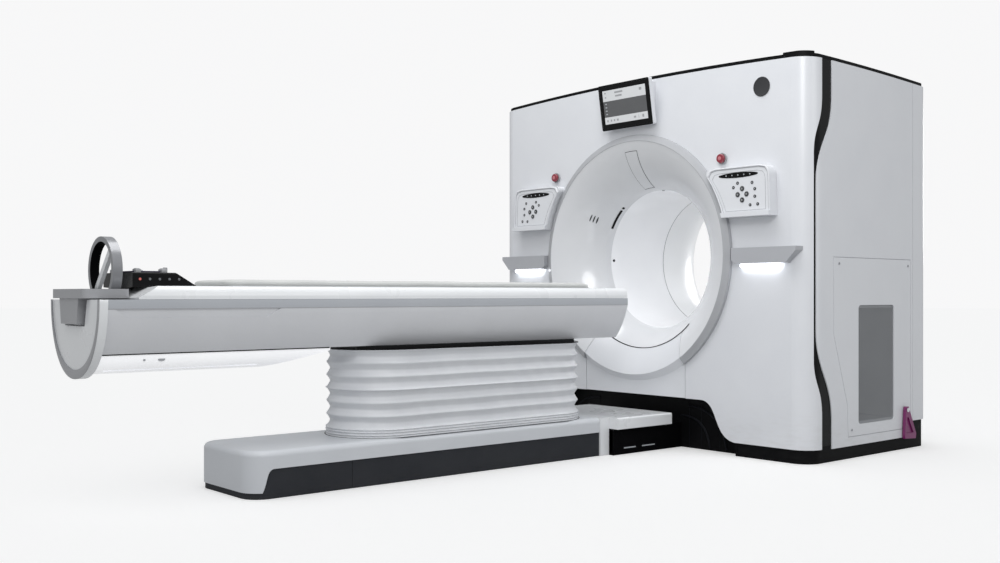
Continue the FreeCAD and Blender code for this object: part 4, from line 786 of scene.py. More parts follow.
# ---- gantry --------------------------------------------------------------------------------------
@dataclass
class DishDetails:
    """The small things let into the dish, and the seam ring of the bore."""

    body: str = "gantry"
    hatch_angles: tuple[float, float] = (95.6, 91.6)
    hatch_radii: tuple[float, float] = (0.416, 0.607)
    hatch_half_angles: tuple[float, float] = (4.75, 4.1)
    slot_angles: tuple[float, float] = (146.4, 151.6)
    slot_radii: tuple[float, ...] = (0.466, 0.480, 0.494)
    slot_half_wide: float = 0.0030
    window_spans: tuple[tuple[float, float], ...] = ((133.2, 152.0), (129.6, 131.6))
    window_radii: tuple[float, float] = (0.4042, 0.4098)
    port_angles: tuple[float, ...] = (0.0, 90.0, 180.0)
    port_reach: float = 0.3988
    port_depth: float = 0.285
    seam_depth: float = 0.734
    seam_radius: float = 0.3993

    def hatch(self) -> None:
        """Builds the narrow hatch at the top of the dish, as a raised plate with a dark seam."""
        inner, outer = self.hatch_radii
        near, far = self.hatch_half_angles

        def plate(grow: float, lift: float) -> Callable[[float, float], Point]:
            """Returns the place of the hatch, grown by a margin."""
            def place(u: float, v: float) -> Point:
                """Returns a point of the plate at a share along and across it."""
                radius = inner - grow + (outer - inner + 2 * grow) * v
                share = (radius - inner) / (outer - inner)
                half = near + (far - near) * share + math.degrees(grow / radius)
                middle = self.hatch_angles[0] + (self.hatch_angles[1] - self.hatch_angles[0]) * share
                return dish_point(middle + half * (1 - 2 * u), radius, lift)
            return place

        seam = sheet_over("hatch_seam", 8, 20, plate(0.0028, 0.0004), 0.0010)
        settle(seam, self.body, "trim_grey", MARK_DARK)
        lid = sheet_over("hatch_lid", 8, 20, plate(0.0, 0.0011), 0.0016)
        settle(lid, self.body, "cover_white", DISH_WHITE)

    def slots(self) -> None:
        """Builds the three short slots on the left of the dish, side by side."""
        start, end = self.slot_angles

        def slot(middle: float) -> Callable[[float, float], Point]:
            """Returns the place of a slot that narrows to both ends."""
            def place(u: float, v: float) -> Point:
                """Returns a point of the slot at a share along and across it."""
                narrow = math.sin(math.pi * (0.15 + 0.7 * u))
                return dish_point(
                    start + (end - start) * u, middle + self.slot_half_wide * (2 * v - 1) * narrow, 0.0006)
            return place

        parts = [
            sheet_over(f"dish_slot_{number}", 10, 4, slot(middle), 0.0010)
            for number, middle in enumerate(self.slot_radii)
        ]
        settle(joined("dish_slots", parts), self.body, "display_black", MARK_DARK)

    def window(self) -> None:
        """Builds the curved dark window at the bore's lip and the small lens past its end."""
        inner, outer = self.window_radii
        parts = []
        for number, (start, end) in enumerate(self.window_spans):
            parts.append(sheet_over(
                f"lip_window_{number}", 36, 6,
                lambda u, v, start=start, end=end: dish_point(
                    start + (end - start) * u, inner + (outer - inner) * v, 0.0009),
                0.0012,
            ))
        settle(joined("lip_windows", parts), self.body, "display_glass", GLOSS_BLACK)

    def lasers(self) -> None:
        """Builds the dark laser ports inside the lip, at both sides and the top."""
        parts = []
        for number, angle in enumerate(self.port_angles):
            turn = math.radians(angle)
            x, z = self.port_reach * math.cos(turn), ISO_Z + self.port_reach * math.sin(turn)
            centre = (x, RING_Y + self.port_depth, z)
            port = drum(f"laser_port_{number}", centre, 0.0085, 0.0024, (0.0, math.pi / 2 - turn, 0.0), 32)
            round_edges(port, 0.0006, 2)
            parts.append(port)
        settle(joined("laser_ports", parts), self.body, "display_glass", GLOSS_BLACK)

    def seam(self) -> None:
        """Builds the thin seam ring of the bore liner."""
        def place(u: float, v: float) -> Point:
            """Returns a point of the ring at a share round and across it."""
            turn = 2 * math.pi * u
            return (
                self.seam_radius * math.cos(turn), RING_Y + self.seam_depth + 0.0035 * (v - 0.5),
                ISO_Z + self.seam_radius * math.sin(turn))

        ring = sheet_over("bore_seam_0", 144, 2, place, 0.0010)
        settle(ring, self.body, "bore_liner_white", BRACKET_GREY)

    def build(self) -> None:
        """Builds all of the dish's details."""
        self.hatch()
        self.slots()
        self.window()
        self.lasers()
        self.seam()


@dataclass
class FrontFittings:
    """What the front cover carries: the panel's dark line, the display, the pods and the badge disc."""

    body: str = "gantry"
    line_radius: float = 0.5125
    line_angles: tuple[float, float] = (-131.5, -46.0)
    display_slope: float = -0.040 / 0.255
    badge: tuple[float, float] = (0.88, 1.90)
    badge_radius: float = 0.05
    status_x: tuple[float, float] = (0.65, 0.90)
    status_z: float = 1.455
    status_high: float = 0.028
    keys: tuple[tuple[str, float, float], ...] = (
        ("up", 0.801, 1.383), ("left", 0.773, 1.354), ("right", 0.829, 1.354), ("down", 0.801, 1.325))
    stop_x: float = 0.636
    stop_z: float = 1.555
    lamp_x: tuple[float, float] = (0.765, 1.000)
    picture_half_wide: float = 0.164
    ring_inset_radius: float = 0.704
    pod_middle: tuple[float, float] = (0.80, 1.372)
    pod_half: tuple[float, float] = (0.185, 0.130)
    marks: tuple[tuple[float, float], ...] = (
        (0.746, 1.392), (0.772, 1.413), (0.863, 1.410), (0.880, 1.377), (0.880, 1.339), (0.898, 1.299),
        (0.851, 1.297))

    def arc_line(self) -> None:
        """Builds the dark line that follows the top of the lower panel and thickens to the right."""
        start, end = self.line_angles

        def place(u: float, v: float) -> Point:
            """Returns a point of the line at a share along and across it."""
            wide = 0.003 + 0.006 * max(0.0, u - 0.55) / 0.45
            return dish_point(start + (end - start) * u, self.line_radius + wide * (v - 0.5), 0.0012)

        line = sheet_over("panel_arc_line", 90, 2, place, 0.0014)
        settle(line, self.body, "display_black", GLOSS_BLACK)

    def panel_on_display(
        self, name: str, x: tuple[float, float], z: tuple[float, float], proud: float,
    ) -> bpy.types.Object:
        """Builds one flat field of the display picture.

        Args:
            name: the field's name.
            x: its left and right edges.
            z: its lower and upper edges.
            proud: how far it stands off the display's glass.

        Returns:
            The thin plate.
        """
        def front(height: float) -> float:
            """Returns the Y of the tilted glass at a height."""
            return RING_Y - 0.020 + self.display_slope * (height - 1.785) - proud

        corners = [
            (x[0], front(z[0]), z[0]), (x[1], front(z[0]), z[0]),
            (x[1], front(z[1]), z[1]), (x[0], front(z[1]), z[1]),
        ]
        return slab_of(name, corners, (0.0, 0.0007, 0.0))

    def display(self) -> None:
        """Builds the picture on the display: header, working area, footer and their small marks."""
        fields = [
            ("display_header", (1.948, 2.008), SCREEN_LIGHT),
            ("display_middle", (1.860, 1.947), SCREEN_GREY),
            ("display_footer", (1.820, 1.859), SCREEN_LIGHT),
        ]
        x = (-self.picture_half_wide, self.picture_half_wide)
        for name, z, finish in fields:
            settle(self.panel_on_display(name, x, z, 0.0012), self.body, "display_glass", finish)
        dark = [
            (-0.148, 0.010, 1.990, 0.008), (-0.148, 0.010, 1.966, 0.008), (-0.070, 0.062, 1.987, 0.009),
            (-0.066, 0.050, 1.967, 0.009), (0.118, 0.018, 1.980, 0.014), (-0.148, 0.010, 1.833, 0.011),
            (-0.120, 0.010, 1.833, 0.011), (-0.096, 0.010, 1.833, 0.011), (-0.072, 0.014, 1.833, 0.011),
            (0.060, 0.016, 1.834, 0.010), (0.096, 0.002, 1.830, 0.018), (0.124, 0.012, 1.832, 0.015),
        ]
        marks = [
            self.panel_on_display(f"icon_{number}", (left, left + wide), (low, low + high), 0.0018)
            for number, (left, wide, low, high) in enumerate(dark)
        ]
        settle(joined("display_icons", marks), self.body, "display_glass", BRACKET_GREY)
        bars = [
            self.panel_on_display(f"bar_{number}", (-0.150, -0.138), (low, low + 0.006), 0.0018)
            for number, low in enumerate((1.930, 1.911, 1.892, 1.873))
        ]
        settle(joined("display_bars", bars), self.body, "display_glass", LAMP_GREY)

    def display_case(self) -> None:
        """Builds the display case's skin: a black face on a pale body."""
        skin = copy_of("display_housing", "display_case_skin")
        two_finishes(skin, PANEL_WHITE, GLOSS_BLACK, lambda face: face.normal.y < -0.8 and face.center.y < 0.97)
        settle(skin, self.body, "display_black", PANEL_WHITE, "display_housing", angle=25.0)

    def pod_outline(self, share: float, inset: float) -> tuple[float, float]:
        """Returns x and z of a pod's outline, set in towards its middle.

        Args:
            share: from 0 to 1 round the outline.
            inset: how far it is set in.

        Returns:
            The x and the z of the point.
        """
        heights = (1.24, 1.30, 1.36, 1.42, 1.462)
        ring = [(math.sqrt(self.ring_inset_radius ** 2 - (z - ISO_Z) ** 2), z) for z in heights]
        corners = [
            *ring, (0.588, 1.492), (0.626, 1.5), (0.750, 1.5), (0.912, 1.5), (0.950, 1.492), (0.966, 1.470),
            (0.971, 1.44), (0.973, 1.34), (0.975, 1.242),
        ]
        place = (share % 1.0) * len(corners)
        number = int(place) % len(corners)
        part = place - int(place)
        start, end = corners[number], corners[(number + 1) % len(corners)]
        x, z = start[0] + (end[0] - start[0]) * part, start[1] + (end[1] - start[1]) * part
        (middle_x, middle_z), (half_w, half_h) = self.pod_middle, self.pod_half
        return (
            middle_x + (x - middle_x) * (1 - inset / half_w),
            middle_z + (z - middle_z) * (1 - inset / half_h))

    def pod_lines(self, side: int) -> None:
        """Builds a pod's raised rim and the two fine grooves inside it.

        Args:
            side: 1 for the right pod, -1 for the left.
        """
        word = "right" if side > 0 else "left"

        def loop(inset: float, radius: float, proud: float) -> Callable[[float, float], Point]:
            """Returns the place of a round bead along the outline."""
            def place(u: float, v: float) -> Point:
                """Returns a point of the bead at a share along and round it."""
                x, z = self.pod_outline(u, inset + radius * math.cos(2 * math.pi * v))
                return side * x, RING_Y - 0.020 - proud + radius * math.sin(2 * math.pi * v), z
            return place

        rim = sheet_over(f"pod_rim_{word}", 140, 8, loop(0.006, 0.0042, 0.0012), 0.0)
        settle(rim, self.body, "cover_white", PANEL_WHITE, angle=60.0)
        grooves = [
            sheet_over(f"groove_{word}_{number}", 140, 6, loop(inset, 0.0011, 0.0002), 0.0)
            for number, inset in enumerate((0.0125, 0.030))
        ]
        settle(joined(f"pod_grooves_{word}", grooves), self.body, "trim_grey", TRIM_GREY, angle=60.0)

    def badge_disc(self) -> None:
        """Builds the plain dark disc near the cover's top right corner."""
        x, z = self.badge
        disc = drum("badge_disc", (x, face_y(x) - 0.0012, z), self.badge_radius, 0.004, FACE_ON, sides=72)
        front = min(point.co.y for point in disc.data.vertices)
        sink_faces(disc, lambda face: face.center.y < front + 1e-4, 0.005, (0.0, 0.0008, 0.0))
        round_edges(disc, 0.0006, 2)
        settle(disc, self.body, "display_black", BADGE_DARK)

    def status_strip(self, side: int) -> None:
        """Builds a pod's black lens-shaped status strip and its lit dots.

        Args:
            side: 1 for the right pod, -1 for the left.
        """
        word = "right" if side > 0 else "left"
        (x0, x1), high = self.status_x, self.status_high

        def place(u: float, v: float) -> Point:
            """Returns a point of the lens at a share along and across it."""
            swell = math.sin(math.pi * min(1.0, max(0.0, u))) ** 0.45
            return side * (x0 + (x1 - x0) * u), RING_Y - 0.0207, self.status_z + high * swell * (v - 0.5)

        strip = sheet_over(f"status_strip_{word}", 60, 4, place, 0.0016)
        settle(strip, self.body, "display_glass", GLOSS_BLACK)
        dots = []
        for number in range(5):
            x = side * (x0 + 0.05 + 0.0375 * number)
            centre = (x, RING_Y - 0.0220, self.status_z)
            dots.append(drum(f"dot_{number}", centre, 0.0035, 0.0014, FACE_ON, sides=20))
        settle(joined(f"status_dots_{word}", dots), self.body, "display_glass", LAMP_GREY)

    def flush_keys(self, side: int) -> None:
        """Builds the small flush keys round the four round ones.

        Args:
            side: 1 for the right pod, -1 for the left.
        """
        word = "right" if side > 0 else "left"
        parts = []
        for number, (x, z) in enumerate(self.marks):
            centre = (side * x, RING_Y - 0.0205, z)
            mark = drum(f"flush_{number}", centre, 0.0085, 0.0016, FACE_ON, sides=28)
            round_edges(mark, 0.0004, 2)
            parts.append(mark)
        settle(joined(f"flush_keys_{word}", parts), self.body, "key_black", MARK_DARK)

    def key_rings(self, side: int) -> None:
        """Builds the thin dark wells round the four keys of a pod.

        Args:
            side: 1 for the right pod, -1 for the left.
        """
        word = "right" if side > 0 else "left"
        places = [self.ring_round(side * x, RING_Y - 0.0204, z, 0.0125, 0.002) for _, x, z in self.keys]
        rings = [sheet_over(f"well_{number}", 40, 1, place, 0.0010) for number, place in enumerate(places)]
        settle(joined(f"key_wells_{word}", rings), self.body, "trim_grey", BRACKET_GREY)

    @staticmethod
    def ring_round(x: float, y: float, z: float, radius: float, wide: float) -> Callable[[float, float], Point]:
        """Returns the place of a flat ring that faces the front.

        Args:
            x: its centre's X.
            y: its plane's Y.
            z: its centre's Z.
            radius: its inner radius.
            wide: how wide its band is.

        Returns:
            The function from a share round and across the ring to its point.
        """
        def place(u: float, v: float) -> Point:
            """Returns a point of the ring at a share round and across it."""
            turn, reach = 2 * math.pi * u, radius + wide * v
            return x + reach * math.cos(turn), y, z + reach * math.sin(turn)
        return place

    def key_marks(self, side: int) -> None:
        """Builds the small light mark on each key: a ring on the round ones, a dot on the flush ones.

        Args:
            side: 1 for the right pod, -1 for the left.
        """
        word = "right" if side > 0 else "left"
        for way, x, z in self.keys:
            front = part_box(f"key_{word}_{way}")[0].y
            place = self.ring_round(side * x, front - 0.0003, z, 0.0028, 0.0013)
            ring = sheet_over(f"key_mark_{word}_{way}", 28, 1, place, 0.0005)
            settle(ring, f"key_{word}_{way}", "trim_grey", SCREEN_LIGHT)
        dots = [
            drum(f"dot_{number}", (side * x, RING_Y - 0.0216, z), 0.0020, 0.0008, FACE_ON, sides=20)
            for number, (x, z) in enumerate(self.marks)
        ]
        settle(joined(f"key_dots_{word}", dots), self.body, "trim_grey", SCREEN_LIGHT)

    def shelf_lamps(self, side: int) -> None:
        """Builds the lamp bar under a shelf.

        Args:
            side: 1 for the right shelf, -1 for the left.
        """
        word = "right" if side > 0 else "left"
        left, right = sorted((side * self.lamp_x[0], side * self.lamp_x[1]))
        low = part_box("side_shelves")[0]
        near, far = low.y + 0.010, face_y(0.88) - 0.001
        lamp = block(f"shelf_lamp_{word}", (left, near, low.z - 0.020), (right, far, low.z - 0.001))
        round_edges(lamp, 0.006, 4)
        settle(lamp, self.body, "display_glass", LAMP_WHITE)

    def stop_rings(self, side: int) -> None:
        """Builds the collar round a stop button and its pale cap.

        Args:
            side: 1 for the right button, -1 for the left.
        """
        word = "right" if side > 0 else "left"
        clear_picks()
        bpy.ops.mesh.primitive_torus_add(
            location=(side * self.stop_x, RING_Y + 0.0265, self.stop_z), rotation=FACE_ON,
            major_radius=0.0275, minor_radius=0.0035, major_segments=56, minor_segments=12)
        ring = named(f"stop_ring_{word}")
        seat(ring)
        settle(ring, self.body, "trim_grey", BRACKET_GREY)
        centre = (side * self.stop_x, 0.9786, self.stop_z)
        cap = drum(f"stop_cap_{word}", centre, 0.0105, 0.0022, FACE_ON, sides=36)
        round_edges(cap, 0.0007, 2)
        settle(cap, f"e_stop_{word}", "stop_red", STOP_PALE)

    def build(self) -> None:
        """Builds all the front fittings."""
        self.arc_line()
        self.display_case()
        self.display()
        self.badge_disc()
        for side in (1, -1):
            self.pod_lines(side)
            self.status_strip(side)
            self.flush_keys(side)
            self.key_rings(side)
            self.key_marks(side)
            self.shelf_lamps(side)
            self.stop_rings(side)


@dataclass
class ArchRecess:
    """The ridges and seams in the black recess under the gantry, and the platform's box."""

    body: str = "gantry"
    wall_y: float = 1.0848
    ridge_feet: tuple[float, ...] = (0.60, 0.49)
    ridge_tops: tuple[float, ...] = (0.232, 0.176)
    ridge_shoulders: tuple[float, ...] = (0.40, 0.345)
    ridge_radius: float = 0.006
    seam_x: tuple[float, ...] = (0.345, 0.43, 0.555)
    slot_spans: tuple[tuple[float, float], ...] = ((0.625, 0.715), (0.765, 0.865))
    slot_z: float = 0.030

    def ridges(self) -> None:
        """Builds the curved dark grey ridges that follow the arch on both sides."""
        parts = []
        for foot, top, shoulder in zip(self.ridge_feet, self.ridge_tops, self.ridge_shoulders):
            for side in (1, -1):
                def place(u: float, v: float, foot=foot, top=top, shoulder=shoulder, side=side) -> Point:
                    """Returns a point of the round ridge."""
                    ends = (
                        (foot, 0.012), (foot - 0.02, top * 0.72), (shoulder + 0.07, top), (shoulder - 0.06, top))
                    weights = ((1 - u) ** 3, 3 * u * (1 - u) ** 2, 3 * u * u * (1 - u), u ** 3)
                    x = sum(w * p[0] for w, p in zip(weights, ends))
                    z = sum(w * p[1] for w, p in zip(weights, ends))
                    turn = 2 * math.pi * v
                    flat = self.ridge_radius * math.cos(turn)
                    y = self.wall_y - 0.004 + 0.6 * self.ridge_radius * math.sin(turn)
                    return side * (x + 0.7 * flat), y, z + 0.7 * flat

                parts.append(sheet_over(f"ridge_{len(parts)}", 40, 10, place, 0.0))
        settle(joined("arch_ridges", parts), self.body, "skirt_dark", RIDGE_DARK, angle=60.0)

    def seams(self) -> None:
        """Builds the upright seams of the recess wall."""
        parts = []
        for x in self.seam_x:
            for side in (1, -1):
                strip = block(f"seam_{len(parts)}", (side * x - 0.0015, self.wall_y - 0.002, 0.012),
                              (side * x + 0.0015, self.wall_y - 0.0006, 0.25))
                round_edges(strip, 0.0004, 2)
                parts.append(strip)
        settle(joined("arch_seams", parts), self.body, "skirt_dark", RIDGE_DARK)

    def box_slots(self) -> None:
        """Builds the thin light slots low on both sides of the platform's box."""
        parts = []
        for start, end in self.slot_spans:
            for side in (1, -1):
                xs = sorted((side * 0.2858, side * 0.2872))
                strip = block(f"slot_{len(parts)}", (xs[0], start, self.slot_z), (xs[1], end, self.slot_z + 0.006))
                round_edges(strip, 0.0005, 2)
                parts.append(strip)
        settle(joined("box_slots", parts), self.body, "trim_grey", LAMP_GREY)

    def build(self) -> None:
        """Builds the recess details."""
        self.ridges()
        self.seams()
        self.box_slots()


# ---- table ---------------------------------------------------------------------------------------
@dataclass
class Bellows:
    """The soft pleated sleeve round the lift, with tight folds at its foot."""

    body: str = "gantry"
    half_w: float = 0.240
    ends: tuple[float, float] = (-0.983, 0.479)
    low: float = 0.1986
    high: float = 0.5914
    anchor_y: float = -0.25
    flattest: float = 0.2625
    crease_deep: float = 0.0013
    cloth_thick: float = 0.0012
    tight_folds: int = 3
    tight_pitch: float = 0.012
    pleats: int = 6
    deep: float = 0.022
    around: int = 420
    rows_per_pleat: int = 14
    seed: int = 11

    def outline(self, share: float, inset: float) -> tuple[float, float, float, float]:
        """Returns a point of the racetrack outline and the way it faces.

        Args:
            share: from 0 to 1 round the outline.
            inset: how far it is set in.

        Returns:
            x, y, and the outward direction's x and y.
        """
        radius = self.half_w
        y0, y1 = self.ends[0] + radius, self.ends[1] - radius
        straight, bend = y1 - y0, math.pi * radius
        run = share * 2 * (straight + bend)
        if run < straight:
            return radius - inset, y0 + run, 1.0, 0.0
        run -= straight
        if run < bend:
            turn = run / radius
            out_x, out_y = math.cos(turn), math.sin(turn)
            return (radius - inset) * out_x, y1 + (radius - inset) * out_y, out_x, out_y
        run -= bend
        if run < straight:
            return -(radius - inset), y1 - run, -1.0, 0.0
        turn = math.pi + (run - straight) / radius
        out_x, out_y = math.cos(turn), math.sin(turn)
        return (radius - inset) * out_x, y0 + (radius - inset) * out_y, out_x, out_y

    def fold(self, row: float) -> tuple[float, float, float]:
        """Returns a place in the stack of folds.

        Args:
            row: how many folds lie below it.

        Returns:
            Its height, its inset and how full the cloth is there.
        """
        tight_high = self.tight_folds * self.tight_pitch
        if row < self.tight_folds:
            wave = 1 - abs(math.sin(math.pi * row))
            return self.low + row * self.tight_pitch, 0.0008 + 0.006 * (1 - wave), 0.2
        pleat = (self.high - self.low - tight_high) / self.pleats
        part = row - self.tight_folds
        share = part % 1.0
        valley = (1 - abs(2 * share - 1)) ** 0.55 if 0 < share < 1 else 0.0
        lean = 0.10 * math.sin(2 * math.pi * share)
        return self.low + tight_high + (part + lean * 0.12) * pleat, 0.0008 + self.deep * valley, 1.0

    def sleeve(self) -> None:
        """Builds the sleeve and creases it softly."""
        rng = random.Random(self.seed)
        waves = [
            (rng.randint(9, 46), rng.uniform(0, 2 * math.pi), rng.uniform(0.4, 1.0), rng.uniform(0.6, 1.9))
            for _ in range(9)
        ]
        rows = self.tight_folds * 6 + self.pleats * self.rows_per_pleat
        folds = self.tight_folds + self.pleats

        def place(u: float, v: float) -> Point:
            """Returns a point of the creased sleeve."""
            row = v * folds
            z, inset, full = self.fold(row)
            crease = sum(
                strong * math.sin(2 * math.pi * count * u + phase + drift * math.pi * row)
                for count, phase, strong, drift in waves
            ) / 5.0
            x, y, out_x, out_y = self.outline(u % 1.0, inset)
            edge = min(1.0, 12 * min(v, 1 - v))
            soft = self.crease_deep * full * crease * edge - self.crease_deep * full * edge
            sag = 0.0016 * full * edge * math.sin(2 * math.pi * 7 * u + 1.3 * row) * (inset / self.deep)
            return x + out_x * soft, y + out_y * soft, z + sag

        sleeve = sheet_over("bellows_sleeve", self.around, rows, place, 0.0)
        wall = sleeve.modifiers.new("wall", "SOLIDIFY")
        wall.thickness = self.cloth_thick
        wall.offset = -1.0
        apply_modifiers(sleeve)
        settle(sleeve, self.body, "bellows_white", BELLOWS_CLOTH, "bellows", angle=80.0)
        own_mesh(sleeve)

    def foot_line(self) -> None:
        """Builds the dark line where the sleeve meets the base."""
        def place(u: float, v: float) -> Point:
            """Returns a point of the flat line round the sleeve's foot."""
            x, y, out_x, out_y = self.outline(u % 1.0, 0.0)
            return x + out_x * (0.004 * v - 0.002), y + out_y * (0.004 * v - 0.002), 0.1987

        line = sheet_over("bellows_foot_line", 180, 1, place, 0.0010)
        settle(line, self.body, "skirt_dark", MATT_BLACK)

    def build(self) -> None:
        """Builds the sleeve and its foot line."""
        self.sleeve()
        self.foot_line()


@dataclass
class TableTop:
    """The beam with its band and grips, and the end cap's trim."""

    body: str = "table_top"
    band_z: float = 0.788
    half_top: float = 0.253
    half_middle: float = 0.221
    half_foot: float = 0.165
    foot_z: float = 0.612
    grip: tuple[tuple[float, float], ...] = ((-2.082, 0.7865), (-2.034, 0.752), (-1.444, 0.752), (-1.384, 0.7865))
    grip_deep: float = 0.004
    band_ends: tuple[float, float] = (-2.109, 0.689)
    line_wide: float = 0.0024
    seam_x: tuple[float, float] = (0.1642, 0.1658)
    seam_ends: tuple[float, float] = (-2.108, -1.10)
    seam_z: tuple[float, float] = (0.6085, 0.6135)
    mark_x: float = 0.1535
    mark_z: float = 0.587
    hole_y: float = -1.93
    oval_y: float = -1.86
    cap_y: float = -2.1444
    cap_half: float = 0.26
    cap_low: float = 0.514

    def half_at(self, z: float) -> float:
        """Returns the beam's half width at a height."""
        x1, z1, x2, z2, x3, z3 = self.half_top, self.band_z, self.half_middle, 0.700, self.half_foot, self.foot_z
        twice = 2 * (x1 * (z2 - z3) + x2 * (z3 - z1) + x3 * (z1 - z2))
        s1, s2, s3 = x1 * x1 + z1 * z1, x2 * x2 + z2 * z2, x3 * x3 + z3 * z3
        centre_x = (s1 * (z2 - z3) + s2 * (z3 - z1) + s3 * (z1 - z2)) / twice
        centre_z = (s1 * (x3 - x2) + s2 * (x1 - x3) + s3 * (x2 - x1)) / twice
        reach = math.hypot(x1 - centre_x, z1 - centre_z)
        return centre_x + math.sqrt(max(0.0, reach ** 2 - (z - centre_z) ** 2))

    def beam(self) -> None:
        """Builds the beam's skin with a shallow grip let into each side, and its paler band."""
        skin = copy_of("table_beam", "beam_skin")
        for side in (1, -1):
            outline = [(side * (self.half_at(z) - self.grip_deep), y, z) for y, z in self.grip]
            cutter = slab_of("grip_cutter", outline, (side * 0.03, 0.0, 0.0))
            cut = skin.modifiers.new("grip", "BOOLEAN")
            cut.operation = "DIFFERENCE"
            cut.object = cutter
            apply_modifiers(skin)
            bpy.data.objects.remove(cutter)
        two_finishes(skin, BEAM_GREY, BEAM_BAND, lambda face: face.center.z > self.band_z - 0.001)
        settle(skin, self.body, "table_white", BEAM_GREY, "table_beam", angle=25.0)

    def band_lines(self) -> None:
        """Builds the fine shadow line under the band on both sides."""
        parts = []
        start, end = self.band_ends
        for side in (1, -1):
            x = side * (self.half_at(self.band_z) + 0.0002)
            parts.append(sheet_over(
                f"band_line_{len(parts)}", 1, 2,
                lambda u, v, x=x: (x, start + (end - start) * u, self.band_z - self.line_wide * v),
                0.0008,
            ))
        settle(joined("band_lines", parts), self.body, "trim_grey", BRACKET_GREY)

    def pan_seam(self) -> None:
        """Builds the black joint between the beam and the pan."""
        parts = []
        for side in (1, -1):
            left, right = sorted((side * self.seam_x[0], side * self.seam_x[1]))
            (start, end), (low, high) = self.seam_ends, self.seam_z
            strip = block(f"pan_seam_{len(parts)}", (left, start, low), (right, end, high))
            round_edges(strip, 0.0005, 2)
            parts.append(strip)
        settle(joined("pan_seam", parts), self.body, "display_black", MATT_BLACK)

    def cap(self) -> None:
        """Builds the end cap's skin and its grey trim, which thickens towards the bottom."""
        skin = copy_of("beam_end_cap", "end_cap_skin")
        round_edges(skin, 0.0025, 3, 50.0)
        settle(skin, self.body, "table_white", TABLE_WHITE, "beam_end_cap")

        def edge(share: float) -> tuple[float, float]:
            """Returns x and z of the cap's outline, from one top corner to the other."""
            side = -1.0 if share < 0.5 else 1.0
            t = abs(2 * share - 1)
            near, far = (1 - t), t
            x = 3 * near * near * far * 0.15 + 3 * near * far * far * self.cap_half + far ** 3 * self.cap_half
            z = (near ** 3 + 3 * near * near * far) * self.cap_low + 3 * near * far * far * 0.64 + far ** 3 * 0.822
            return side * x, z

        def place(u: float, v: float) -> Point:
            """Returns a point of the trim at a share along and across it."""
            step = 0.004
            x, z = edge(u)
            ahead, behind = edge(min(1.0, u + step)), edge(max(0.0, u - step))
            along_x, along_z = ahead[0] - behind[0], ahead[1] - behind[1]
            length = math.hypot(along_x, along_z)
            wide = 0.012 + 0.024 * math.sin(math.pi * u) ** 2
            return (x - along_z / length * wide * v, self.cap_y - 0.0016 - 0.002 * math.sin(math.pi * v),
                    z + along_x / length * wide * v)

        trim = sheet_over("end_cap_trim", 72, 6, place, 0.003)
        settle(trim, self.body, "trim_grey", BRACKET_GREY)

    def pan_marks(self) -> None:
        """Builds the small hole and the oval mark on each side of the pan."""
        parts = []
        for side in (1, -1):
            hole_at = (side * self.mark_x, self.hole_y, self.mark_z)
            oval_at = (side * self.mark_x, self.oval_y, self.mark_z)
            hole = drum(f"pan_hole_{len(parts)}", hole_at, 0.005, 0.006, ALONG_X, sides=24)
            oval = drum(f"pan_oval_{len(parts)}", oval_at, 0.0075, 0.006, ALONG_X, sides=32)
            for point in oval.data.vertices:
                point.co.y = self.oval_y + (point.co.y - self.oval_y) * 2.0
            parts += [hole, oval]
        settle(joined("pan_marks", parts), self.body, "trim_grey", TRIM_GREY)

    def build(self) -> None:
        """Builds the whole table top."""
        self.beam()
        self.band_lines()
        self.pan_seam()
        self.cap()
        self.pan_marks()


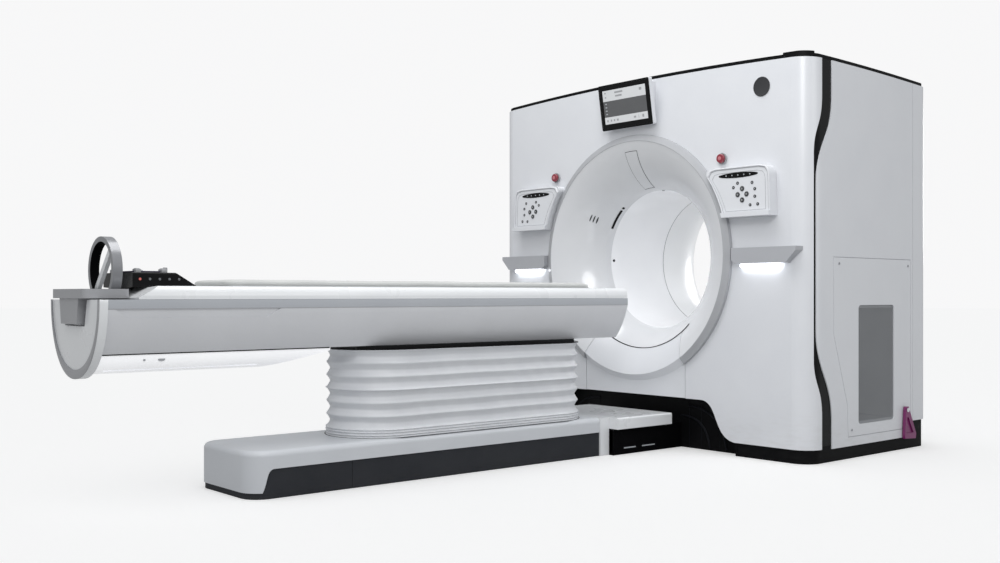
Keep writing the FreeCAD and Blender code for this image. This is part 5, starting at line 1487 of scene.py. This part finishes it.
@dataclass
class Pad:
    """The thin mattress on the cradle, with its piping, whose darker tone paints the pad's shadow line."""

    body: str = "cradle"
    half_w: float = 0.190
    ends: tuple[float, float] = (-1.595, 0.505)
    top: float = 0.8985
    bed: float = 0.870
    crown: float = 0.9035
    pressure: float = 4.0
    pipe_radius: float = 0.0032
    inset: float = 0.004
    voxel: float = 0.007
    cap: float = 0.005
    corner: float = 0.06
    frames: int = 20

    def floor_at(self, x: float) -> float:
        """Returns the height of the cradle's dished top at x."""
        return 0.8664 + 0.009 * (x / 0.222) ** 2

    def cushion(self) -> None:
        """Builds the pad, fills it with air by simulation and sews it flat underneath."""
        half, (y0, y1) = self.half_w - self.inset, self.ends
        pad = block("pad_cushion", (-half, y0 + self.inset, self.bed), (half, y1 - self.inset, self.top))
        corners = pad.modifiers.new("corners", "BEVEL")
        corners.width = self.corner
        corners.segments = 8
        corners.affect = "EDGES"
        corners.limit_method = "WEIGHT"
        weight = pad.data.attributes.new("bevel_weight_edge", "FLOAT", "EDGE")
        for edge in pad.data.edges:
            low, high = (pad.data.vertices[number].co for number in edge.vertices)
            weight.data[edge.index].value = float(abs(low.z - high.z) > 0.01)
        apply_modifiers(pad)
        round_edges(pad, 0.011, 4, 50.0)
        pick(pad)
        pad.data.remesh_voxel_size = self.voxel
        bpy.ops.object.voxel_remesh()
        for point in pad.data.vertices:
            share = (point.co.z - self.bed) / (self.top - self.bed)
            low = self.floor_at(point.co.x)
            point.co.z = low + share * (self.top - low)
        start = [point.co.copy() for point in pad.data.vertices]
        self.fill(pad, start)
        self.crease(pad)
        finer = pad.modifiers.new("finer", "SUBSURF")
        finer.levels = 1
        finer.render_levels = 1
        settle(pad, self.body, "pad_grey", PAD_CLOTH, "mattress_pad", angle=80.0)

    def fill(self, pad: bpy.types.Object, start: list[Vector]) -> None:
        """Blows the pad up gently and limits how far each point moves.

        Args:
            pad: the remeshed pad.
            start: where its points were.
        """
        air = pad.modifiers.new("air", "CLOTH")
        air.settings.use_pressure = True
        air.settings.uniform_pressure_force = self.pressure
        air.settings.effector_weights.gravity = 0.0
        air.settings.quality = 5
        air.point_cache.frame_start = 1
        air.point_cache.frame_end = self.frames
        for number in range(1, self.frames + 1):
            bpy.context.scene.frame_set(number)
        apply_modifiers(pad)
        bpy.context.scene.frame_set(1)
        for point, before in zip(pad.data.vertices, start):
            move = point.co - before
            if move.length > self.cap:
                point.co = before + move * (self.cap / move.length)

    def crease(self, pad: bpy.types.Object) -> None:
        """Presses the pad down on the cradle and adds its long soft waves."""
        for point in pad.data.vertices:
            x, y = point.co.x, point.co.y
            low = self.floor_at(x) + 0.0003
            high = max(0.0, point.co.z - low) / (self.top - low)
            wave = math.sin(9.1 * y + 3.0 * x) * 0.0006 + math.sin(23.0 * y - 11.0 * x) * 0.0004
            point.co.z = max(low, min(self.crown, point.co.z + wave * high))

    def outline(self, share: float, inset: float) -> tuple[float, float, float, float]:
        """Returns a point of the pad's rounded outline and the way it faces."""
        radius, (y0, y1) = self.corner, self.ends
        runs = [
            (self.half_w - radius, y1 - radius, 0.0),
            (-(self.half_w - radius), y1 - radius, 0.5 * math.pi),
            (-(self.half_w - radius), y0 + radius, math.pi),
            (self.half_w - radius, y0 + radius, 1.5 * math.pi),
        ]
        long, short, bend = y1 - y0 - 2 * radius, 2 * (self.half_w - radius), 0.5 * math.pi * radius
        spans = [bend, short, bend, long, bend, short, bend, long]
        run = (share % 1.0) * sum(spans)
        for number, span in enumerate(spans):
            if run <= span or number == 7:
                break
            run -= span
        x, y, start = runs[number // 2]
        turn = start + (run / radius if number % 2 == 0 else 0.5 * math.pi)
        out_x, out_y = math.cos(turn), math.sin(turn)
        reach = radius - inset
        slide = run if number % 2 else 0.0
        return x + out_x * reach - out_y * slide, y + out_y * reach + out_x * slide, out_x, out_y

    def piping(self) -> None:
        """Builds the piping round the pad's lower edge; its darker tone is painted shade, the pad's shadow line on
        the cradle.
        """
        def place(u: float, v: float) -> Point:
            """Returns a point of the round piping."""
            x, y, out_x, out_y = self.outline(u, 0.0055)
            turn = 2 * math.pi * v
            reach, rise = self.pipe_radius * math.cos(turn), self.pipe_radius * math.sin(turn)
            return x + out_x * reach, y + out_y * reach, self.floor_at(x) + 0.0036 + rise

        piping = sheet_over("pad_piping_shade", 420, 10, place, 0.0)
        settle(piping, self.body, "pad_grey", PAD_PIPING_SHADE, angle=80.0)

    def build(self) -> None:
        """Builds the pad and its piping."""
        self.cushion()
        self.piping()


@dataclass
class FootEnd:
    """The hoop, and the console's lights, clamps, peg and thin pad."""

    body: str = "cradle"
    hoop_z: float = 0.938
    hoop_inner: float = 0.112
    console_x: float = 0.150
    light_y: tuple[float, ...] = (-1.945, -1.905, -1.865, -1.825, -1.785)
    light_z: float = 0.902
    tray_low: Point = (-0.118, -1.958, 0.9278)
    tray_high: Point = (0.118, -1.835, 0.9345)
    clamp_x: tuple[float, float] = (0.098, 0.134)
    clamp_y: tuple[float, ...] = (-1.955, -1.850)
    clamp_long: float = 0.020
    clamp_z: tuple[float, float] = (0.9275, 0.9420)
    peg_at: Point = (0.085, -1.815, 0.9385)

    def hoop(self) -> None:
        """Builds the hoop's skin: grey outside, black inside, with a bright stay."""
        skin = copy_of("hoop_handle", "hoop_skin")
        for finish in (HOOP_GREY, MATT_BLACK, TABLE_WHITE):
            skin.data.materials.append(finish.material())
        while len(skin.data.materials) > 3:
            skin.data.materials.pop(index=0)
        for face in skin.data.polygons:
            x, z = face.center.x, face.center.z - self.hoop_z
            away = math.hypot(x, z)
            inward = (face.normal.x * x + face.normal.z * z) / away < -0.5
            face.material_index = 2 if away < self.hoop_inner - 0.002 else int(inward)
        settle(skin, self.body, "trim_grey", HOOP_GREY, "hoop_handle")

    def lights(self) -> None:
        """Builds the small lights on both sides of the console: one red, the others grey."""
        grey = []
        for side in (1, -1):
            for number, y in enumerate(self.light_y):
                centre = (side * self.console_x, y, self.light_z)
                lamp = drum(f"console_light_{side}_{number}", centre, 0.0052, 0.004, ALONG_X, sides=28)
                round_edges(lamp, 0.0009, 2)
                if number:
                    grey.append(lamp)
                else:
                    word = "right" if side > 0 else "left"
                    settle(joined(f"console_light_red_{word}", [lamp]), self.body, "stop_red", LAMP_RED)
        settle(joined("console_lights", grey), self.body, "trim_grey", LAMP_DIM)

    def tray(self) -> None:
        """Builds the thin violet pad on the console, its clamps and its peg."""
        pad = block("console_pad", self.tray_low, self.tray_high)
        round_edges(pad, 0.0028, 3)
        settle(pad, self.body, "key_black", VIOLET_PAD)
        clamps = []
        for side in (1, -1):
            for y in self.clamp_y:
                left, right = sorted((side * self.clamp_x[0], side * self.clamp_x[1]))
                low, high = self.clamp_z
                clamp = block(f"clamp_{len(clamps)}", (left, y, low), (right, y + self.clamp_long, high))
                top = max(point.co.z for point in clamp.data.vertices)
                sink_faces(clamp, lambda face, top=top: face.center.z > top - 1e-4, 0.004, (0.0, 0.0, 0.003))
                round_edges(clamp, 0.0014, 2)
                clamps.append(clamp)
        settle(joined("console_clamps", clamps), self.body, "trim_grey", BRACKET_GREY)
        peg = drum("console_peg", self.peg_at, 0.009, 0.023, sides=36)
        round_edges(peg, 0.003, 3)
        settle(peg, self.body, "trim_grey", BRACKET_GREY)

    def build(self) -> None:
        """Builds the foot end."""
        self.hoop()
        self.lights()
        self.tray()


# ---- studio --------------------------------------------------------------------------------------
@dataclass
class Studio:
    """A pale floor without an edge, soft lamps and the camera."""

    camera_at: Point = (4.371, -3.681, 0.8406)
    camera_turn: float = 49.81
    lens: float = 40.28
    shift: float = 0.01325
    backdrop: float = 0.94
    floor_reach: float = 70.0
    floor_glow: float = 0.40
    sun_power: float = 0.55
    sun_spread: float = 70.0
    sun_aim: Point = (-0.35, 0.55, -1.0)
    ambient: float = 0.50
    lamps: tuple[tuple[str, Point, Point, float, float], ...] = (
        ("front_lamp", (3.0, -2.0, 3.0), (1.0, 1.0, 1.5), 1.8, 50.0),
        ("top_lamp", (0.2, -0.6, 5.0), (0.2, -0.4, 0.0), 3.4, 120.0),
        ("right_lamp", (5.4, 1.4, 2.6), (1.1, 1.0, 1.3), 2.0, 13.0),
        ("bore_lamp", (0.0, 4.4, 1.7), (0.0, 1.6, 1.0), 1.4, 42.0),
    )

    def floor(self) -> None:
        """Builds the wide floor, lifted for the camera alone so that it fades into the backdrop."""
        clear_picks()
        bpy.ops.mesh.primitive_circle_add(
            vertices=96, radius=self.floor_reach, fill_type="NGON", location=(0.0, 0.0, -0.0008))
        floor = named("studio_floor")
        seat(floor)
        finish = Finish("studio_floor", (0.82, 0.818, 0.814), (0.818, 0.816, 0.812), 0.9, 0.02, grain=60.0,
                        depth=0.00001, specular=0.0)
        material = finish.material()
        net = Net(material.node_tree)
        end = next(node for node in material.node_tree.nodes if node.type == "OUTPUT_MATERIAL")
        plain = end.inputs[0].links[0].from_socket
        glow = net.add("ShaderNodeEmission", {"Color": (1.0, 1.0, 1.0, 1.0), "Strength": self.floor_glow})
        lifted = net.add("ShaderNodeAddShader", {0: plain, 1: glow.outputs[0]})
        eye = net.add("ShaderNodeLightPath").outputs["Is Camera Ray"]
        both = net.add("ShaderNodeMixShader", {0: eye, 1: plain, 2: lifted.outputs[0]})
        net.tree.links.new(both.outputs[0], end.inputs[0])
        floor.data.materials.append(material)

    def world(self) -> None:
        """Builds the even backdrop and the softer light that it gives."""
        world = bpy.data.worlds.new("studio_world")
        bpy.context.scene.world = world
        world.use_nodes = True
        world.node_tree.nodes.clear()
        net = Net(world.node_tree)
        seen = net.add("ShaderNodeBackground", {"Color": (0.995, 0.995, 1.0, 1.0), "Strength": self.backdrop})
        given = net.add("ShaderNodeBackground", {"Color": (0.97, 0.985, 1.0, 1.0), "Strength": self.ambient})
        eye = net.add("ShaderNodeLightPath").outputs["Is Camera Ray"]
        both = net.add("ShaderNodeMixShader", {0: eye, 1: given.outputs[0], 2: seen.outputs[0]})
        net.add("ShaderNodeOutputWorld", {0: both.outputs[0]})

    def light(self) -> None:
        """Places the soft lamps, which pass over the floor, and one broad sun."""
        passed_over = bpy.data.collections.new("passed_over")
        passed_over.objects.link(named("studio_floor"))
        passed_over.collection_objects[0].light_linking.link_state = "EXCLUDE"
        for name, place, aim, size, power in self.lamps:
            lamp = bpy.data.lights.new(name, "AREA")
            lamp.shape = "DISK"
            lamp.size = size
            lamp.energy = power
            made = bpy.data.objects.new(name, lamp)
            made.location = place
            made.rotation_euler = (Vector(aim) - Vector(place)).to_track_quat("-Z", "Y").to_euler()
            made.light_linking.receiver_collection = passed_over
            bpy.context.scene.collection.objects.link(made)
        sun = bpy.data.lights.new("sky_lamp", "SUN")
        sun.energy = self.sun_power
        sun.angle = math.radians(self.sun_spread)
        made = bpy.data.objects.new("sky_lamp", sun)
        made.rotation_euler = Vector(self.sun_aim).to_track_quat("-Z", "Y").to_euler()
        bpy.context.scene.collection.objects.link(made)

    def camera(self) -> None:
        """Places the camera at a standing view from the right of the table's foot."""
        lens = bpy.data.cameras.new("studio_camera")
        lens.lens = self.lens
        lens.sensor_width = 36.0
        lens.shift_y = self.shift
        lens.clip_end = 200.0
        made = bpy.data.objects.new("studio_camera", lens)
        made.location = self.camera_at
        made.rotation_euler = (math.pi / 2, 0.0, math.radians(self.camera_turn))
        bpy.context.scene.collection.objects.link(made)
        bpy.context.scene.camera = made

    def build(self) -> None:
        """Builds the studio."""
        self.floor()
        self.world()
        self.light()
        self.camera()
        bpy.context.scene.view_settings.view_transform = "Standard"


def main() -> None:
    """Dresses the CAD pieces, builds the refined ones and sets up the studio."""
    logging.basicConfig(level=logging.INFO, format="%(name)s: %(message)s")
    Dresser().dress()
    DishDetails().build()
    FrontFittings().build()
    ArchRecess().build()
    Bellows().build()
    TableTop().build()
    Pad().build()
    FootEnd().build()
    Studio().build()


if __name__ == "__main__":
    main()
